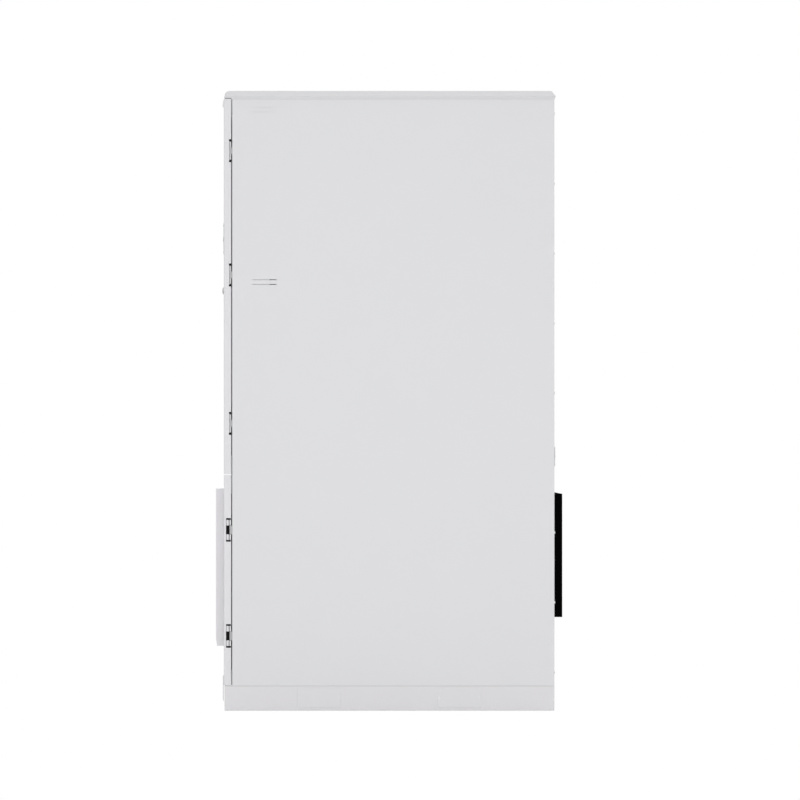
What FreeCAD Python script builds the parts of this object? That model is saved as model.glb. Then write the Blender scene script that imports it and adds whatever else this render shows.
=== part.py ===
import FreeCAD, Part
import math
import os
from FreeCAD import Vector

# Outdoor battery cabinet: welded frame and sheet-metal skin on a forklift plinth, with a battery bay behind the
# upper door and a cooling bay behind the lower door. Millimetres, +Z up, doors face -Y, hinges on the +X side.
# The origin is on the floor, under the middle of the cabinet.

# Overall sizes
body_width = 1000.0
body_depth = 1200.0
total_height = 2250.0
plinth_height = 90.0
split_height = 857.0
front_projection = 28.5
rear_projection = 28.5

# Sheet and frame
sheet = 2.0
door_thickness = 27.0
door_gap = 3.0
corner_bend = 3.0
frame_bar = 46.0
frame_wall = 3.0
base_sheet = 3.0
panel_return = 20.0
sill_height = 52.0
header_height = 57.0
split_rail_half = 65.0
side_rail_height = 46.0

# Roof cap
cap_skirt = 32.0
cap_overhang = 5.4
cap_drip_height = 12.5
cap_flat_inset = 10.5
cap_front_skirt = 26.0
cap_front_round = 18.0
cap_front_slope = 2.8
cap_rest_width = 40.0

# Vent slots of the side panels
slot_length = 88.0
slot_height = 2.6
slot_front_setback = 74.0
slot_pair_pitch = 17.0
slot_drops = [67.5, 694.0]

# Plinth
plinth_wall = 4.0
plinth_front_setback = 2.5
plinth_flange = 60.0
anchor_radius = 9.0
anchor_inset_x = 60.0
anchor_inset_y = 60.0
pocket_spacing = 510.0
pocket_width = 146.0
pocket_height = 60.0
pocket_floor = 17.0
pocket_wall = 4.0
pocket_cover_width = 156.0
pocket_cover_height = 70.0
pocket_cover_sheet = 1.5
collar_reach = 12.0
cover_screw_inset = 6.5
cover_screw_radius = 2.6
cover_screw_head = 1.6

# Cable entry
gland_plate_width = 96.0
gland_plate_length = 300.0
gland_side_room = 54.0
gland_plate_overlap = 12.0
gland_pitch = 72.0
gland_bore_radius = 16.0
gland_thread_radius = 22.0
gland_nut_radius = 29.0
gland_body_length = 26.0
gland_nut_height = 9.0
gland_neck_sides = 12
cable_slot_half = 24.0

# Door frame and seals
lip_reach = 20.0
lip_depth = 48.0
lip_sheet = 2.0
seal_width = 6.0
fit_gap = 0.3

# Doors
door_return = 17.0
door_edge_round = 4.0
door_end_gap = 3.0
hat_width = 60.0
hat_foot = 14.0
hat_depth = 14.0
hat_offset = 230.0
drip_height = 32.0
drip_reach = 5.0
skirt_height = 94.0
skirt_overlap = 37.0
skirt_reach = 3.8
skirt_inset = 15.0

# Hinges
hinge_height = 76.0
hinge_foot_x = 30.0
upper_hinge_shares = [0.138, 0.469, 0.8646]
lower_hinge_shares = [0.261, 0.7659]
upper_pivot_inset = 4.0
upper_pivot_depth = 23.5
upper_knuckle_radius = 3.5
upper_knuckle_share = 0.30
upper_notch_depth = 7.0
upper_pin_radius = 1.8
lower_pivot_inset = 7.0
lower_pivot_depth = 13.5
lower_knuckle_radius = 6.0
lower_knuckle_share = 0.42
lower_notch_depth = 19.0
lower_pin_radius = 3.0
pin_clearance = 0.05
upper_leaf_sheet = 1.5
upper_neck_sheet = 2.4
lower_leaf_sheet = 2.4
lower_neck_sheet = 3.0

# Rod lock
lock_side_inset = 108.0
upper_lock_drop = 508.0
lower_lock_rise = 380.0
bezel_width = 90.0
bezel_height = 114.0
bezel_proud = 0.8
bezel_corner = 12.0
cup_half = 38.0
cup_wall = 2.0
cup_depth = 22.0
knob_hub_radius = 11.0
knob_hub_proud = 2.0
knob_wing_length = 35.0
knob_wing_width = 15.0
knob_tip_width = 10.0
plug_radius = 6.0
plug_length = 16.0
spindle_radius = 7.0
gear_module = 2.0
gear_teeth = 12
gear_width = 8.0
gear_backlash = 0.7
gear_case_wall = 4.0
gear_case_half = 24.0
rod_inner = 14.6
rod_outer = 21.0
rod_taper = 8.0
rack_tail = 34.0
rack_teeth_below = 5
rack_teeth_above = 2
rod_play = 0.3
lock_turn = 90.0
lock_rail_half = 44.0
guide_wall = 4.0
guide_height = 14.0
guide_lock_gap = 90.0
guide_end_gap = 70.0
keeper_height = 20.0
keeper_sheet = 3.0
keeper_width = 40.0
keeper_gap = 2.0
keeper_play = 1.5
keeper_front_wall = 4.0
keeper_back_wall = 9.0

# Status lamps
lamp_drop = 697.0
lamp_pitch = 60.0
lamp_radius = 10.0
lamp_proud = 6.0
lamp_body_radius = 8.0
lamp_body_length = 18.0
lamp_body_sides = 12

# Intake hood and filter
hood_side_inset = 170.0
hood_bottom = 236.0
hood_top = 807.0
hood_sheet = 2.0
hood_taper_height = 24.0
hood_taper_depth = 4.0
louvre_pitch = 38.0
louvre_slot = 16.0
louvre_rise = 15.0
louvre_reach = 14.0
louvre_margin = 30.0
louvre_column_gap = 40.0
intake_margin = 30.0
intake_bottom = 262.0
intake_top = 770.0
filter_border = 10.0
filter_depth = 20.0
filter_bar = 16.0

# Exhaust
grille_side_inset = 175.0
grille_bottom = 340.0
grille_top = 793.0
grille_slope = 5.5
grille_wall = 2.5
grille_border = 25.0
grille_slats = 15
grille_slat_sheet = 2.0
fan_spacing = 320.0
fan_height = 566.0
fan_ring_radius = 137.0
fan_ring_wall = 3.0
fan_tip_gap = 4.0
fan_corner = 60.0
motor_overlap = 8.0
fan_depth = 44.0
fan_hub_radius = 44.0
fan_hub_length = 34.0
fan_blades = 7
fan_blade_sheet = 3.0
fan_blade_angle = 30.0
fan_chord = 46.0
fan_shaft_radius = 6.0
motor_radius = 40.0
motor_length = 24.0
strut_width = 12.0

# Cooling unit
chassis_side_room = 112.0
chassis_front = -440.0
chassis_rear = 522.0
chassis_top = 840.0
coil_side_room = 20.0
coil_depth = 40.0
coil_bottom = 200.0
coil_top = 800.0
coil_fin_pitch = 40.0
coil_header_radius = 14.0
barrel_sides = 24
compressor_radius = 78.0
compressor_crown = 50.0
compressor_crown_height = 30.0
compressor_height = 260.0
compressor_side_room = 150.0
compressor_y = 60.0
pump_radius = 52.0
pump_length = 150.0
pump_x = 60.0
pump_y = -60.0
tank_width = 180.0
tank_depth = 220.0
tank_height = 330.0
tank_side_room = 130.0
tank_y = 220.0

# Battery bay
shelf_sheet = 3.0
pack_count = 4
pack_gap = 13.0
pack_side_room = 52.0
pack_rear_room = 22.0
pack_front_room = 52.0
pack_tray_share = 0.6
pack_flange = 6.0
pack_flange_sheet = 5.0
rib_pitch = 60.0
pack_floor_gap = 8.0
pack_corner = 12.0
runner_sheet = 3.0
runner_leg = 40.0
runner_grip = 15.0
terminal_half = 16.0
terminal_length = 28.0
terminal_inset = 100.0
terminal_drop = 40.0
bar_width = 30.0
bar_thickness = 4.0
handle_offset = 190.0
handle_span = 120.0
handle_reach = 36.0
handle_radius = 6.0
pipe_half = 12.0
riser_side_room = 24.0
riser_setback = 70.0
branch_half = 7.0
branch_height = 45.0
manifold_foot = 650.0

# Control box
control_depth = 520.0
control_height = 222.0
control_top_room = 17.0
vent_rows = 8
vent_pitch = 30.0
vent_width = 8.0
vent_setback = 120.0
vent_share = 0.22
control_sheet = 2.0
panel_sheet = 3.0
switch_side_room = 60.0
switch_stem = 40.0
switch_turn = 90.0
switch_plate = 84.0
switch_length = 74.0
switch_width = 18.0
switch_skirt_half = 32.0
switch_skirt = 10.0
switch_grip = 22.0
switch_seat = 4.0
switch_stem_radius = 6.0
button_radius = 11.0
button_travel = 4.0
button_proud = 9.0
button_length = 26.0
button_sides = 16
window_width = 110.0
window_height = 48.0
window_shift = -35.0
button_offsets = [90.0, 160.0]
button_collar = 15.0
button_collar_depth = 6.0

# Fire canister and rear cover
canister_radius = 55.0
canister_length = 300.0
canister_y = 320.0
canister_drop = 90.0
canister_shoulder = 16.0
canister_strap = 24.0
rear_cover_width = 110.0
rear_cover_bottom = 889.0
rear_cover_top = 958.0
rear_cover_sheet = 3.0
rear_cover_corner = 6.0

# Levels and planes that follow from the sizes above
side_x = body_width / 2
front_y = -body_depth / 2
rear_y = body_depth / 2
door_back = front_y + door_thickness
body_front = door_back + door_gap
base_top = plinth_height + base_sheet
cap_bottom = total_height - cap_skirt
door_top = total_height - cap_front_skirt - door_end_gap
door_bottom = plinth_height + door_end_gap
post_outer = side_x - sheet
post_inner = post_outer - frame_bar
post_front = body_front + sheet
post_rear = rear_y - sheet
bay_front = post_front + frame_bar
bay_rear = post_rear - frame_bar
lower_opening = (base_top + sill_height, split_height - split_rail_half)
upper_opening = (split_height + split_rail_half, cap_bottom - header_height)
shelf_top = upper_opening[0]
lip_front = body_front - lip_reach + sheet
skin_back = front_y + sheet
lock_x = -(side_x - lock_side_inset)
upper_lock_height = door_top - upper_lock_drop
lower_lock_height = door_bottom + lower_lock_rise
lamp_height = door_top - lamp_drop
gland_plate_x = -(post_inner - gland_side_room)
hood_width = 2 * (side_x - hood_side_inset)
intake_width = hood_width - 2 * intake_margin
grille_width = 2 * (side_x - grille_side_inset)
chassis_half_width = post_inner - chassis_side_room
coil_half_width = chassis_half_width - coil_side_room
compressor_x = -(chassis_half_width - compressor_side_room)
tank_x = chassis_half_width - tank_side_room
pitch_radius = gear_module * gear_teeth / 2
rod_travel = pitch_radius * math.radians(lock_turn)
cup_back = front_y + cup_depth + cup_wall
gear_front = cup_back + 4.0
gear_back = gear_front + gear_width
pack_base = shelf_top + pack_floor_gap
control_base = upper_opening[1] - control_top_room - control_height
pack_pitch = (control_base - pack_base) / pack_count
pack_height = pack_pitch - pack_gap
pack_tray_height = pack_tray_share * pack_height
pack_width = 2 * (post_inner - pack_side_room)
pack_front = bay_front + pack_front_room
pack_depth = bay_rear - pack_rear_room - pack_front
terminal_offset = pack_width / 2 - terminal_inset
switch_offset = -(terminal_offset - switch_side_room)
terminal_height = pack_tray_height - terminal_drop
pipe_offset = post_inner - riser_side_room
riser_y = pack_front + riser_setback


def save(name, shape):
    """Write one sub-part as a STEP file and say how large it is."""
    shape.exportStep("parts/" + name + ".step")
    print(name, len(shape.Solids), "solids", round(shape.Volume), "mm3")


def block(x0, x1, y0, y1, z0, z1):
    """A box between pairs of planes."""
    return Part.makeBox(x1 - x0, y1 - y0, z1 - z0, Vector(x0, y0, z0))


def prism(points, direction, start, length):
    """An outline given in the two axes left over, pushed along X, Y or Z."""
    place = {
        "x": lambda a, b: Vector(start, a, b),
        "y": lambda a, b: Vector(a, start, b),
        "z": lambda a, b: Vector(a, b, start),
    }[direction]
    push = {"x": Vector(length, 0, 0), "y": Vector(0, length, 0), "z": Vector(0, 0, length)}[direction]
    corners = [place(a, b) for a, b in points]
    return Part.Face(Part.makePolygon(corners + corners[:1])).extrude(push)


def round_bar(radius, start, end):
    """A cylinder from one point to another."""
    axis = end - start
    return Part.makeCylinder(radius, axis.Length, start, axis)


def turned(profile, centre, axis):
    """A solid of revolution: the profile holds (radius, distance along the axis) pairs."""
    corners = [Vector(radius, 0, along) for radius, along in profile]
    solid = Part.Face(Part.makePolygon(corners + corners[:1])).revolve(Vector(0, 0, 0), Vector(0, 0, 1), 360)
    solid.Placement = FreeCAD.Placement(centre, FreeCAD.Rotation(Vector(0, 0, 1), axis))
    return solid


def rounded(shape, radius, direction):
    """Round every straight edge that runs along one axis."""
    edges = []
    for edge in shape.Edges:
        if isinstance(edge.Curve, Part.Line) and abs(edge.Curve.Direction.dot(direction)) > 0.999:
            edges.append(edge)
    return shape.makeFillet(radius, edges)


def chamfered(shape, size, direction):
    """Cut every straight edge that runs along one axis to a flat."""
    edges = []
    for edge in shape.Edges:
        if abs(edge.tangentAt(edge.FirstParameter).dot(direction)) > 0.999:
            edges.append(edge)
    return shape.makeChamfer(size, edges)


def joined(shapes):
    """One solid from touching or overlapping ones."""
    return shapes[0].multiFuse(shapes[1:]).removeSplitter() if len(shapes) > 1 else shapes[0]


def mirrored(shape):
    """The same piece on the other side of the cabinet."""
    return shape.mirror(Vector(0, 0, 0), Vector(1, 0, 0))


def frame_ring(half_width, z0, z1, wall, y0, y1):
    """A rectangular ring that lines an opening, seen along Y."""
    outer = block(-half_width, half_width, y0, y1, z0, z1)
    inner = block(-half_width + wall, half_width - wall, y0 - 1, y1 + 1, z0 + wall, z1 - wall)
    return outer.cut(inner)


def box_tube(x0, x1, y0, y1, z0, z1, wall, direction):
    """A rectangular steel tube along one axis."""
    skip = {"x": (0, wall, wall), "y": (wall, 0, wall), "z": (wall, wall, 0)}[direction]
    inner = block(x0 + skip[0], x1 - skip[0], y0 + skip[1], y1 - skip[1], z0 + skip[2], z1 - skip[2])
    return block(x0, x1, y0, y1, z0, z1).cut(inner)


# Plinth

def pocket_centres():
    return [-pocket_spacing / 2, pocket_spacing / 2]


def anchor_places():
    xs = [-side_x + anchor_inset_x, side_x - anchor_inset_x]
    ys = [front_y + anchor_inset_y, rear_y - anchor_inset_y]
    return [(x, y) for x in xs for y in ys]


def plinth_frame():
    """C-section ring with turned-in flanges, windows for the fork pockets and four anchor holes."""
    front = front_y + plinth_front_setback
    ring = block(-side_x, side_x, front, rear_y, 0, plinth_height)
    ring = rounded(ring, corner_bend, Vector(0, 0, 1))
    hollow = block(-side_x + plinth_wall, side_x - plinth_wall, front + plinth_wall, rear_y - plinth_wall,
                   plinth_wall, plinth_height - plinth_wall)
    well = block(-side_x + plinth_flange, side_x - plinth_flange, front + plinth_flange, rear_y - plinth_flange,
                 -1, plinth_height + 1)
    ring = ring.cut(hollow).cut(well)
    for y in pocket_centres():
        ring = ring.cut(block(-side_x - 1, side_x + 1, y - pocket_width / 2, y + pocket_width / 2,
                              pocket_floor, pocket_floor + pocket_height))
    for x, y in anchor_places():
        ring = ring.cut(Part.makeCylinder(anchor_radius, plinth_wall + 2, Vector(x, y, -1)))
    return ring


def fork_pocket_tubes():
    """Two rectangular tubes right across the plinth, for the forks of a truck."""
    tubes = []
    for y in pocket_centres():
        tubes.append(box_tube(-side_x, side_x, y - pocket_width / 2, y + pocket_width / 2,
                              pocket_floor, pocket_floor + pocket_height, pocket_wall, "x"))
    return Part.makeCompound(tubes)


def cover_screw_places():
    """Where the cover screws sit: near both ends of each cover, at mid height."""
    level = pocket_floor + pocket_height / 2
    reach = pocket_cover_width / 2 - cover_screw_inset
    return [(y + side * reach, level) for y in pocket_centres() for side in (-1, 1)]


def fork_pocket_covers():
    """Pressed plates that close the pockets: a plate with a shallow flange into the tube's mouth."""
    covers = []
    level = pocket_floor + pocket_height / 2
    for y in pocket_centres():
        plate = block(side_x, side_x + pocket_cover_sheet, y - pocket_cover_width / 2, y + pocket_cover_width / 2,
                      level - pocket_cover_height / 2, level + pocket_cover_height / 2)
        inset = pocket_wall + fit_gap
        collar = box_tube(side_x - collar_reach, side_x, y - pocket_width / 2 + inset, y + pocket_width / 2 - inset,
                          pocket_floor + inset, pocket_floor + pocket_height - inset, pocket_cover_sheet, "x")
        cover = joined([plate, collar])
        covers += [cover, mirrored(cover)]
    return Part.makeCompound(covers)


def sided_bar(sides, radius, centre, height, direction):
    """A bar with flat sides, such as a nut, standing along X, Y or Z; the radius reaches its corners."""
    across = {"x": (centre.y, centre.z), "y": (centre.x, centre.z), "z": (centre.x, centre.y)}[direction]
    start = {"x": centre.x, "y": centre.y, "z": centre.z}[direction]
    corners = []
    for k in range(sides):
        angle = 2 * math.pi * (k + 0.5) / sides
        corners.append((across[0] + radius * math.cos(angle), across[1] + radius * math.sin(angle)))
    return prism(corners, direction, start, height)


def hexagon(radius, centre, height, direction):
    """A hexagonal head or nut."""
    return sided_bar(6, radius, centre, height, direction)


def fork_cover_screws():
    """Low hexagon-head screws on the pocket covers."""
    screws = []
    for y, z in cover_screw_places():
        head = hexagon(cover_screw_radius, Vector(side_x + pocket_cover_sheet, y, z), cover_screw_head, "x")
        screws += [head, mirrored(head)]
    return Part.makeCompound(screws)


def gland_window():
    half_x = gland_plate_width / 2 - gland_plate_overlap
    half_y = gland_plate_length / 2 - gland_plate_overlap
    return block(gland_plate_x - half_x, gland_plate_x + half_x, -half_y, half_y, plinth_height - 1, base_top + 1)


def base_plate():
    """Floor sheet of the cabinet, with the window that the gland plate closes."""
    plate = block(-post_outer, post_outer, post_front, post_rear, plinth_height, base_top)
    return plate.cut(gland_window())


def gland_places():
    return [(gland_plate_x, (k - 1.5) * gland_pitch) for k in range(4)]


def gland_plate():
    """Separate plate over the cable window, with a punched hole for each gland."""
    top = base_top + base_sheet
    plate = block(gland_plate_x - gland_plate_width / 2, gland_plate_x + gland_plate_width / 2,
                  -gland_plate_length / 2, gland_plate_length / 2, base_top, top)
    for x, y in gland_places():
        plate = plate.cut(sided_bar(gland_neck_sides, gland_thread_radius, Vector(x, y, base_top - 1),
                                    base_sheet + 2, "z"))
    return plate


def cable_glands():
    """Four glands with a clear bore: lock nut below, hexagon body and domed cap above the plate."""
    glands = []
    top = base_top + base_sheet
    for x, y in gland_places():
        nut = hexagon(gland_nut_radius, Vector(x, y, base_top - gland_nut_height), gland_nut_height, "z")
        neck = sided_bar(gland_neck_sides, gland_thread_radius, Vector(x, y, base_top), base_sheet, "z")
        collar = hexagon(gland_nut_radius, Vector(x, y, top), gland_nut_height, "z")
        dome = sided_bar(gland_neck_sides, gland_thread_radius + 2, Vector(x, y, top + gland_nut_height),
                         gland_body_length, "z")
        low = base_top - gland_nut_height - 1
        high = top + gland_nut_height + gland_body_length + 1
        bore = Part.makeCylinder(gland_bore_radius, high - low, Vector(x, y, low))
        glands.append(joined([nut, neck, collar, dome]).cut(bore))
    return Part.makeCompound(glands)


# Welded frame and skin

def cabinet_frame():
    """Four posts, front and rear rails, side rails and the roof deck, each a member of the welded frame."""
    members = []
    for y0 in (post_front, bay_rear):
        for x0 in (-post_outer, post_inner):
            members.append(box_tube(x0, x0 + frame_bar, y0, y0 + frame_bar, base_top, cap_bottom, frame_wall, "z"))
        for z0, z1 in ((base_top, lower_opening[0]), (lower_opening[1], upper_opening[0]),
                       (upper_opening[1], cap_bottom)):
            members.append(box_tube(-post_inner, post_inner, y0, y0 + frame_bar, z0, z1, frame_wall, "x"))
    side_levels = (base_top, shelf_top - side_rail_height, cap_bottom - side_rail_height)
    for z0 in side_levels:
        for x0 in (-post_outer, post_inner):
            members.append(box_tube(x0, x0 + frame_bar, bay_front, bay_rear, z0, z0 + side_rail_height,
                                    frame_wall, "y"))
    members.append(block(-post_inner, post_inner, bay_front, bay_rear, cap_bottom - sheet, cap_bottom))
    return Part.makeCompound(members)


def slot_cut(level):
    """A thin vent slot through a side panel."""
    y0 = body_front + slot_front_setback
    return block(side_x - sheet - 1, side_x + 1, y0, y0 + slot_length, level - slot_height / 2,
                 level + slot_height / 2)


def side_panel():
    """Side skin: one folded sheet with front and rear returns and two pairs of vent slots."""
    outline = [(side_x, body_front), (side_x, rear_y), (post_outer - panel_return, rear_y),
               (post_outer - panel_return, post_rear), (post_outer, post_rear), (post_outer, post_front),
               (post_outer - panel_return, post_front), (post_outer - panel_return, body_front)]
    panel = prism(outline, "z", plinth_height, cap_bottom - plinth_height)
    bends = []
    for edge in panel.Edges:
        middle = edge.CenterOfMass
        upright = abs(edge.tangentAt(edge.FirstParameter).z) > 0.999
        if upright and middle.x > side_x - 0.01:
            bends.append(edge)
    panel = panel.makeFillet(corner_bend, bends)
    for level in [total_height - drop for drop in slot_drops]:
        for side in (-1, 1):
            panel = panel.cut(slot_cut(level + side * slot_pair_pitch / 2))
    return panel


def rear_panel():
    """Rear skin between the side panels' returns, with the exhaust window and a service hole."""
    half = post_outer - panel_return
    panel = block(-half, half, post_rear, rear_y, plinth_height, cap_bottom)
    panel = panel.cut(block(-grille_width / 2 + grille_border, grille_width / 2 - grille_border,
                            post_rear - 1, rear_y + 1, grille_bottom + grille_border, grille_top - grille_border))
    middle = (rear_cover_bottom + rear_cover_top) / 2
    return panel.cut(block(-rear_cover_width / 4, rear_cover_width / 4, post_rear - 1, rear_y + 1, middle - 14,
                           middle + 14))


def rear_cover_plate():
    """Small screwed plate over the service hole in the rear skin."""
    plate = block(-rear_cover_width / 2, rear_cover_width / 2, rear_y, rear_y + rear_cover_sheet,
                  rear_cover_bottom, rear_cover_top)
    return rounded(plate, rear_cover_corner, Vector(0, 1, 0))


def cap_form(inset):
    """Outer form of the roof cap, or its inner form when inset by the sheet."""
    top = total_height - inset
    half = side_x + cap_overhang - inset
    drip = cap_bottom + cap_drip_height
    flat = side_x - cap_flat_inset - inset
    front = front_y + inset
    front_bottom = total_height - cap_front_skirt
    shoulder = top - cap_front_round
    across = [(-side_x + inset, cap_bottom), (-half, drip), (-flat, top), (flat, top), (half, drip),
              (side_x - inset, cap_bottom)]
    slab = prism(across, "y", front_y - 10, body_depth + 20)
    round_x = front + cap_front_slope
    middle = cap_front_round * (1 - math.sqrt(0.5))
    start = Vector(0, round_x, shoulder)
    end = Vector(0, round_x + cap_front_round, top)
    arc = Part.Arc(start, Vector(0, round_x + middle, top - middle), end).toShape()
    rear_half = rear_y + cap_overhang - inset
    corners = [end, Vector(0, rear_y - cap_flat_inset - inset, top), Vector(0, rear_half, drip),
               Vector(0, rear_y - inset, cap_bottom), Vector(0, body_front, cap_bottom),
               Vector(0, body_front, front_bottom), Vector(0, front, front_bottom), start]
    lines = [Part.makeLine(a, b) for a, b in zip(corners, corners[1:])]
    side = Part.Face(Part.Wire([arc] + lines)).extrude(Vector(2 * side_x + 60, 0, 0))
    side.translate(Vector(-side_x - 30, 0, 0))
    return slab.common(side)


def roof_cap():
    """Folded rain cap with a drip edge all round, on two rest channels above the frame."""
    cap = cap_form(0).cut(cap_form(sheet))
    mouth = block(-side_x + sheet, side_x - sheet, body_front, rear_y - sheet, cap_bottom - 1, cap_bottom + 1)
    cap = cap.cut(mouth)
    lip = block(-side_x + sheet, side_x - sheet, front_y + sheet, body_front + 1,
                total_height - cap_front_skirt - 1, total_height - cap_front_skirt + 1)
    cap = cap.cut(lip)
    rests = []
    for x in (-side_x / 2, side_x / 2):
        channel = block(x - cap_rest_width / 2, x + cap_rest_width / 2, bay_front, bay_rear, cap_bottom,
                        total_height - sheet)
        groove = block(x - cap_rest_width / 2 + sheet, x + cap_rest_width / 2 - sheet, bay_front - 1, bay_rear + 1,
                       cap_bottom + sheet, total_height)
        rests.append(channel.cut(groove))
    return joined([cap] + rests)


def mid_shelf():
    """Sheet between the bays, inside the rails, with holes for the coolant pipes and the cables."""
    shelf = block(-post_inner, post_inner, bay_front, bay_rear, shelf_top - shelf_sheet, shelf_top)
    for side in (-1, 1):
        shelf = shelf.cut(riser_block(side, pipe_half + 3, shelf_top - 10, shelf_top + 10))
    return shelf.cut(block(gland_plate_x - cable_slot_half, gland_plate_x + cable_slot_half, -gland_plate_length / 2,
                           gland_plate_length / 2, shelf_top - 10, shelf_top + 10))


def door_frame_lips():
    """Raised sheet lining of each door opening, of four strips: the seals sit on its front edge."""
    strips = []
    y0 = lip_front
    y1 = lip_front + lip_depth
    for z0, z1 in (lower_opening, upper_opening):
        strips.append(block(-post_inner, post_inner, y0, y1, z0, z0 + lip_sheet))
        strips.append(block(-post_inner, post_inner, y0, y1, z1 - lip_sheet, z1))
        for x in (-post_inner, post_inner - lip_sheet):
            strips.append(block(x, x + lip_sheet, y0, y1, z0 + lip_sheet, z1 - lip_sheet))
    return Part.makeCompound(strips)


def door_seals():
    """Rubber bulb seals on the lips, a hair clear of the closed doors."""
    rings = []
    middle = (seal_width - lip_sheet) / 2
    for z0, z1 in (lower_opening, upper_opening):
        ring = frame_ring(post_inner + middle, z0 - middle, z1 + middle, seal_width, skin_back + fit_gap, lip_front)
        nose = [edge for edge in ring.Edges if abs(edge.CenterOfMass.y - skin_back - fit_gap) < 0.01]
        rings.append(ring.makeChamfer(seal_width * 0.3, nose))
    return Part.makeCompound(rings)


# Doors

def door_tray(z0, z1):
    """Folded door tray: skin, four edges and a turned-in return round the back."""
    outer = rounded(block(-side_x, side_x, front_y, door_back, z0, z1), door_edge_round, Vector(0, 0, 1))
    inner = block(-side_x + sheet, side_x - sheet, skin_back, door_back - sheet, z0 + sheet, z1 - sheet)
    back = block(-side_x + door_return, side_x - door_return, door_back - sheet - 1, door_back + 1,
                 z0 + door_return, z1 - door_return)
    return outer.cut(inner).cut(back)


def hinge_levels(shares, z_bottom, z_top):
    """Heights of the hinges of one door, each a share of the door's height below its top."""
    return [z_top - share * (z_top - z_bottom) for share in shares]


def hinge_notch(level, depth, width):
    """Cut-out in the door's edge and return for one hinge."""
    half = hinge_height / 2
    return block(side_x - width, side_x + 1, door_back - depth, door_back + 1, level - half, level + half)


def lock_hole(level):
    """Square hole for the cup of one lock, through anything near the door's skin."""
    half = cup_half + cup_wall + fit_gap
    return block(lock_x - half, lock_x + half, front_y - 1, gear_front, level - half, level + half)


def lamp_places():
    return [(k * lamp_pitch, lamp_height) for k in (-1, 0, 1)]


def upper_door_shell():
    """Upper door tray with lock and lamp holes, hinge notches and the drip lip along its top."""
    bottom = split_height + door_end_gap / 2
    tray = door_tray(bottom, door_top)
    for level in hinge_levels(upper_hinge_shares, split_height + door_end_gap / 2, door_top):
        tray = tray.cut(hinge_notch(level, upper_notch_depth, upper_pivot_inset + upper_knuckle_radius + fit_gap))
    tray = tray.cut(lock_hole(upper_lock_height))
    for x, z in lamp_places():
        tray = tray.cut(sided_bar(lamp_body_sides, lamp_body_radius + fit_gap, Vector(x, front_y - 5, z), 10, "y"))
    lip = prism([(front_y, door_top), (front_y - drip_reach * 0.85, door_top - drip_height * 0.5),
                 (front_y - drip_reach, door_top - drip_height * 0.78),
                 (front_y - drip_reach * 0.8, door_top - drip_height * 0.94), (front_y, door_top - drip_height)],
                "x", -side_x + door_edge_round, 2 * (side_x - door_edge_round))
    return joined([tray, lip])


def lower_door_shell():
    """Lower door tray with the intake window, lock hole, hinge notches and the skirt over the plinth joint."""
    top = split_height - door_end_gap / 2
    tray = door_tray(door_bottom, top)
    for level in hinge_levels(lower_hinge_shares, door_bottom, top):
        tray = tray.cut(hinge_notch(level, lower_notch_depth, hinge_foot_x + sheet))
    tray = tray.cut(lock_hole(lower_lock_height))
    tray = tray.cut(block(-intake_width / 2, intake_width / 2, front_y - 1, skin_back + 1, intake_bottom,
                          intake_top))
    skirt_top = door_bottom + skirt_overlap
    skirt_foot = skirt_top - skirt_height
    skirt = prism([(front_y, skirt_top), (front_y - skirt_reach, skirt_top - 3),
                   (front_y - skirt_reach, skirt_foot + 8), (front_y - skirt_reach / 2, skirt_foot),
                   (front_y, skirt_foot)],
                  "x", -side_x + skirt_inset, 2 * (side_x - skirt_inset))
    return joined([tray, skirt])


def hat_section(x, z0, z1):
    """A folded hat stiffener on the back of the door skin."""
    foot = skin_back + sheet
    crown = skin_back + hat_depth
    half = hat_width / 2
    inner = half - hat_foot
    outline = [(x - half, skin_back), (x + half, skin_back), (x + half, foot), (x + inner, foot),
               (x + inner - 3, crown), (x - inner + 3, crown), (x - inner, foot), (x - half, foot)]
    hollow = [(x - inner + sheet, skin_back - 1), (x + inner - sheet, skin_back - 1),
              (x + inner - sheet, skin_back), (x + inner - 3 - sheet, crown - sheet),
              (x - inner + 3 + sheet, crown - sheet), (x - inner + sheet, skin_back)]
    return prism(outline, "z", z0, z1 - z0).cut(prism(hollow, "z", z0 - 1, z1 - z0 + 2))


def lock_rail(opening, level, guides):
    """Folded channels behind the skin, above and below the lock, with the guide loops of its rods."""
    back = cup_back - cup_wall
    near = cup_half + cup_wall + fit_gap
    rails = []
    for z0, z1 in ((opening[0] + lip_sheet + 8, level - near), (level + near, opening[1] - lip_sheet - 8)):
        channel = block(lock_x - lock_rail_half, lock_x + lock_rail_half, skin_back, back, z0, z1)
        hollow = block(lock_x - lock_rail_half + sheet, lock_x + lock_rail_half - sheet, skin_back - 1, back - sheet,
                       z0 - 1, z1 + 1)
        pieces = [channel.cut(hollow)]
        for z, side in guides:
            if z0 < z < z1:
                pieces.append(guide_loop(z, side, back))
        rails.append(joined(pieces))
    return rails


def guide_loop(level, side, back):
    """A loop on the rail's back that a rod slides through: side is -1 or +1."""
    inner, outer = sorted([lock_x + side * (rod_inner - rod_play), lock_x + side * (rod_outer + rod_play)])
    loop = block(inner - guide_wall, outer + guide_wall, back, gear_back + rod_play + guide_wall,
                 level - guide_height / 2, level + guide_height / 2)
    return loop.cut(block(inner, outer, gear_front - rod_play, gear_back + rod_play, level - guide_height,
                          level + guide_height))


def rod_guides(opening, level):
    """Heights of the guide blocks: one near each rod's end and one near the lock."""
    return [(level + guide_lock_gap, -1), (opening[1] - guide_end_gap, -1), (level - guide_lock_gap, 1),
            (opening[0] + guide_end_gap, 1)]


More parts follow.
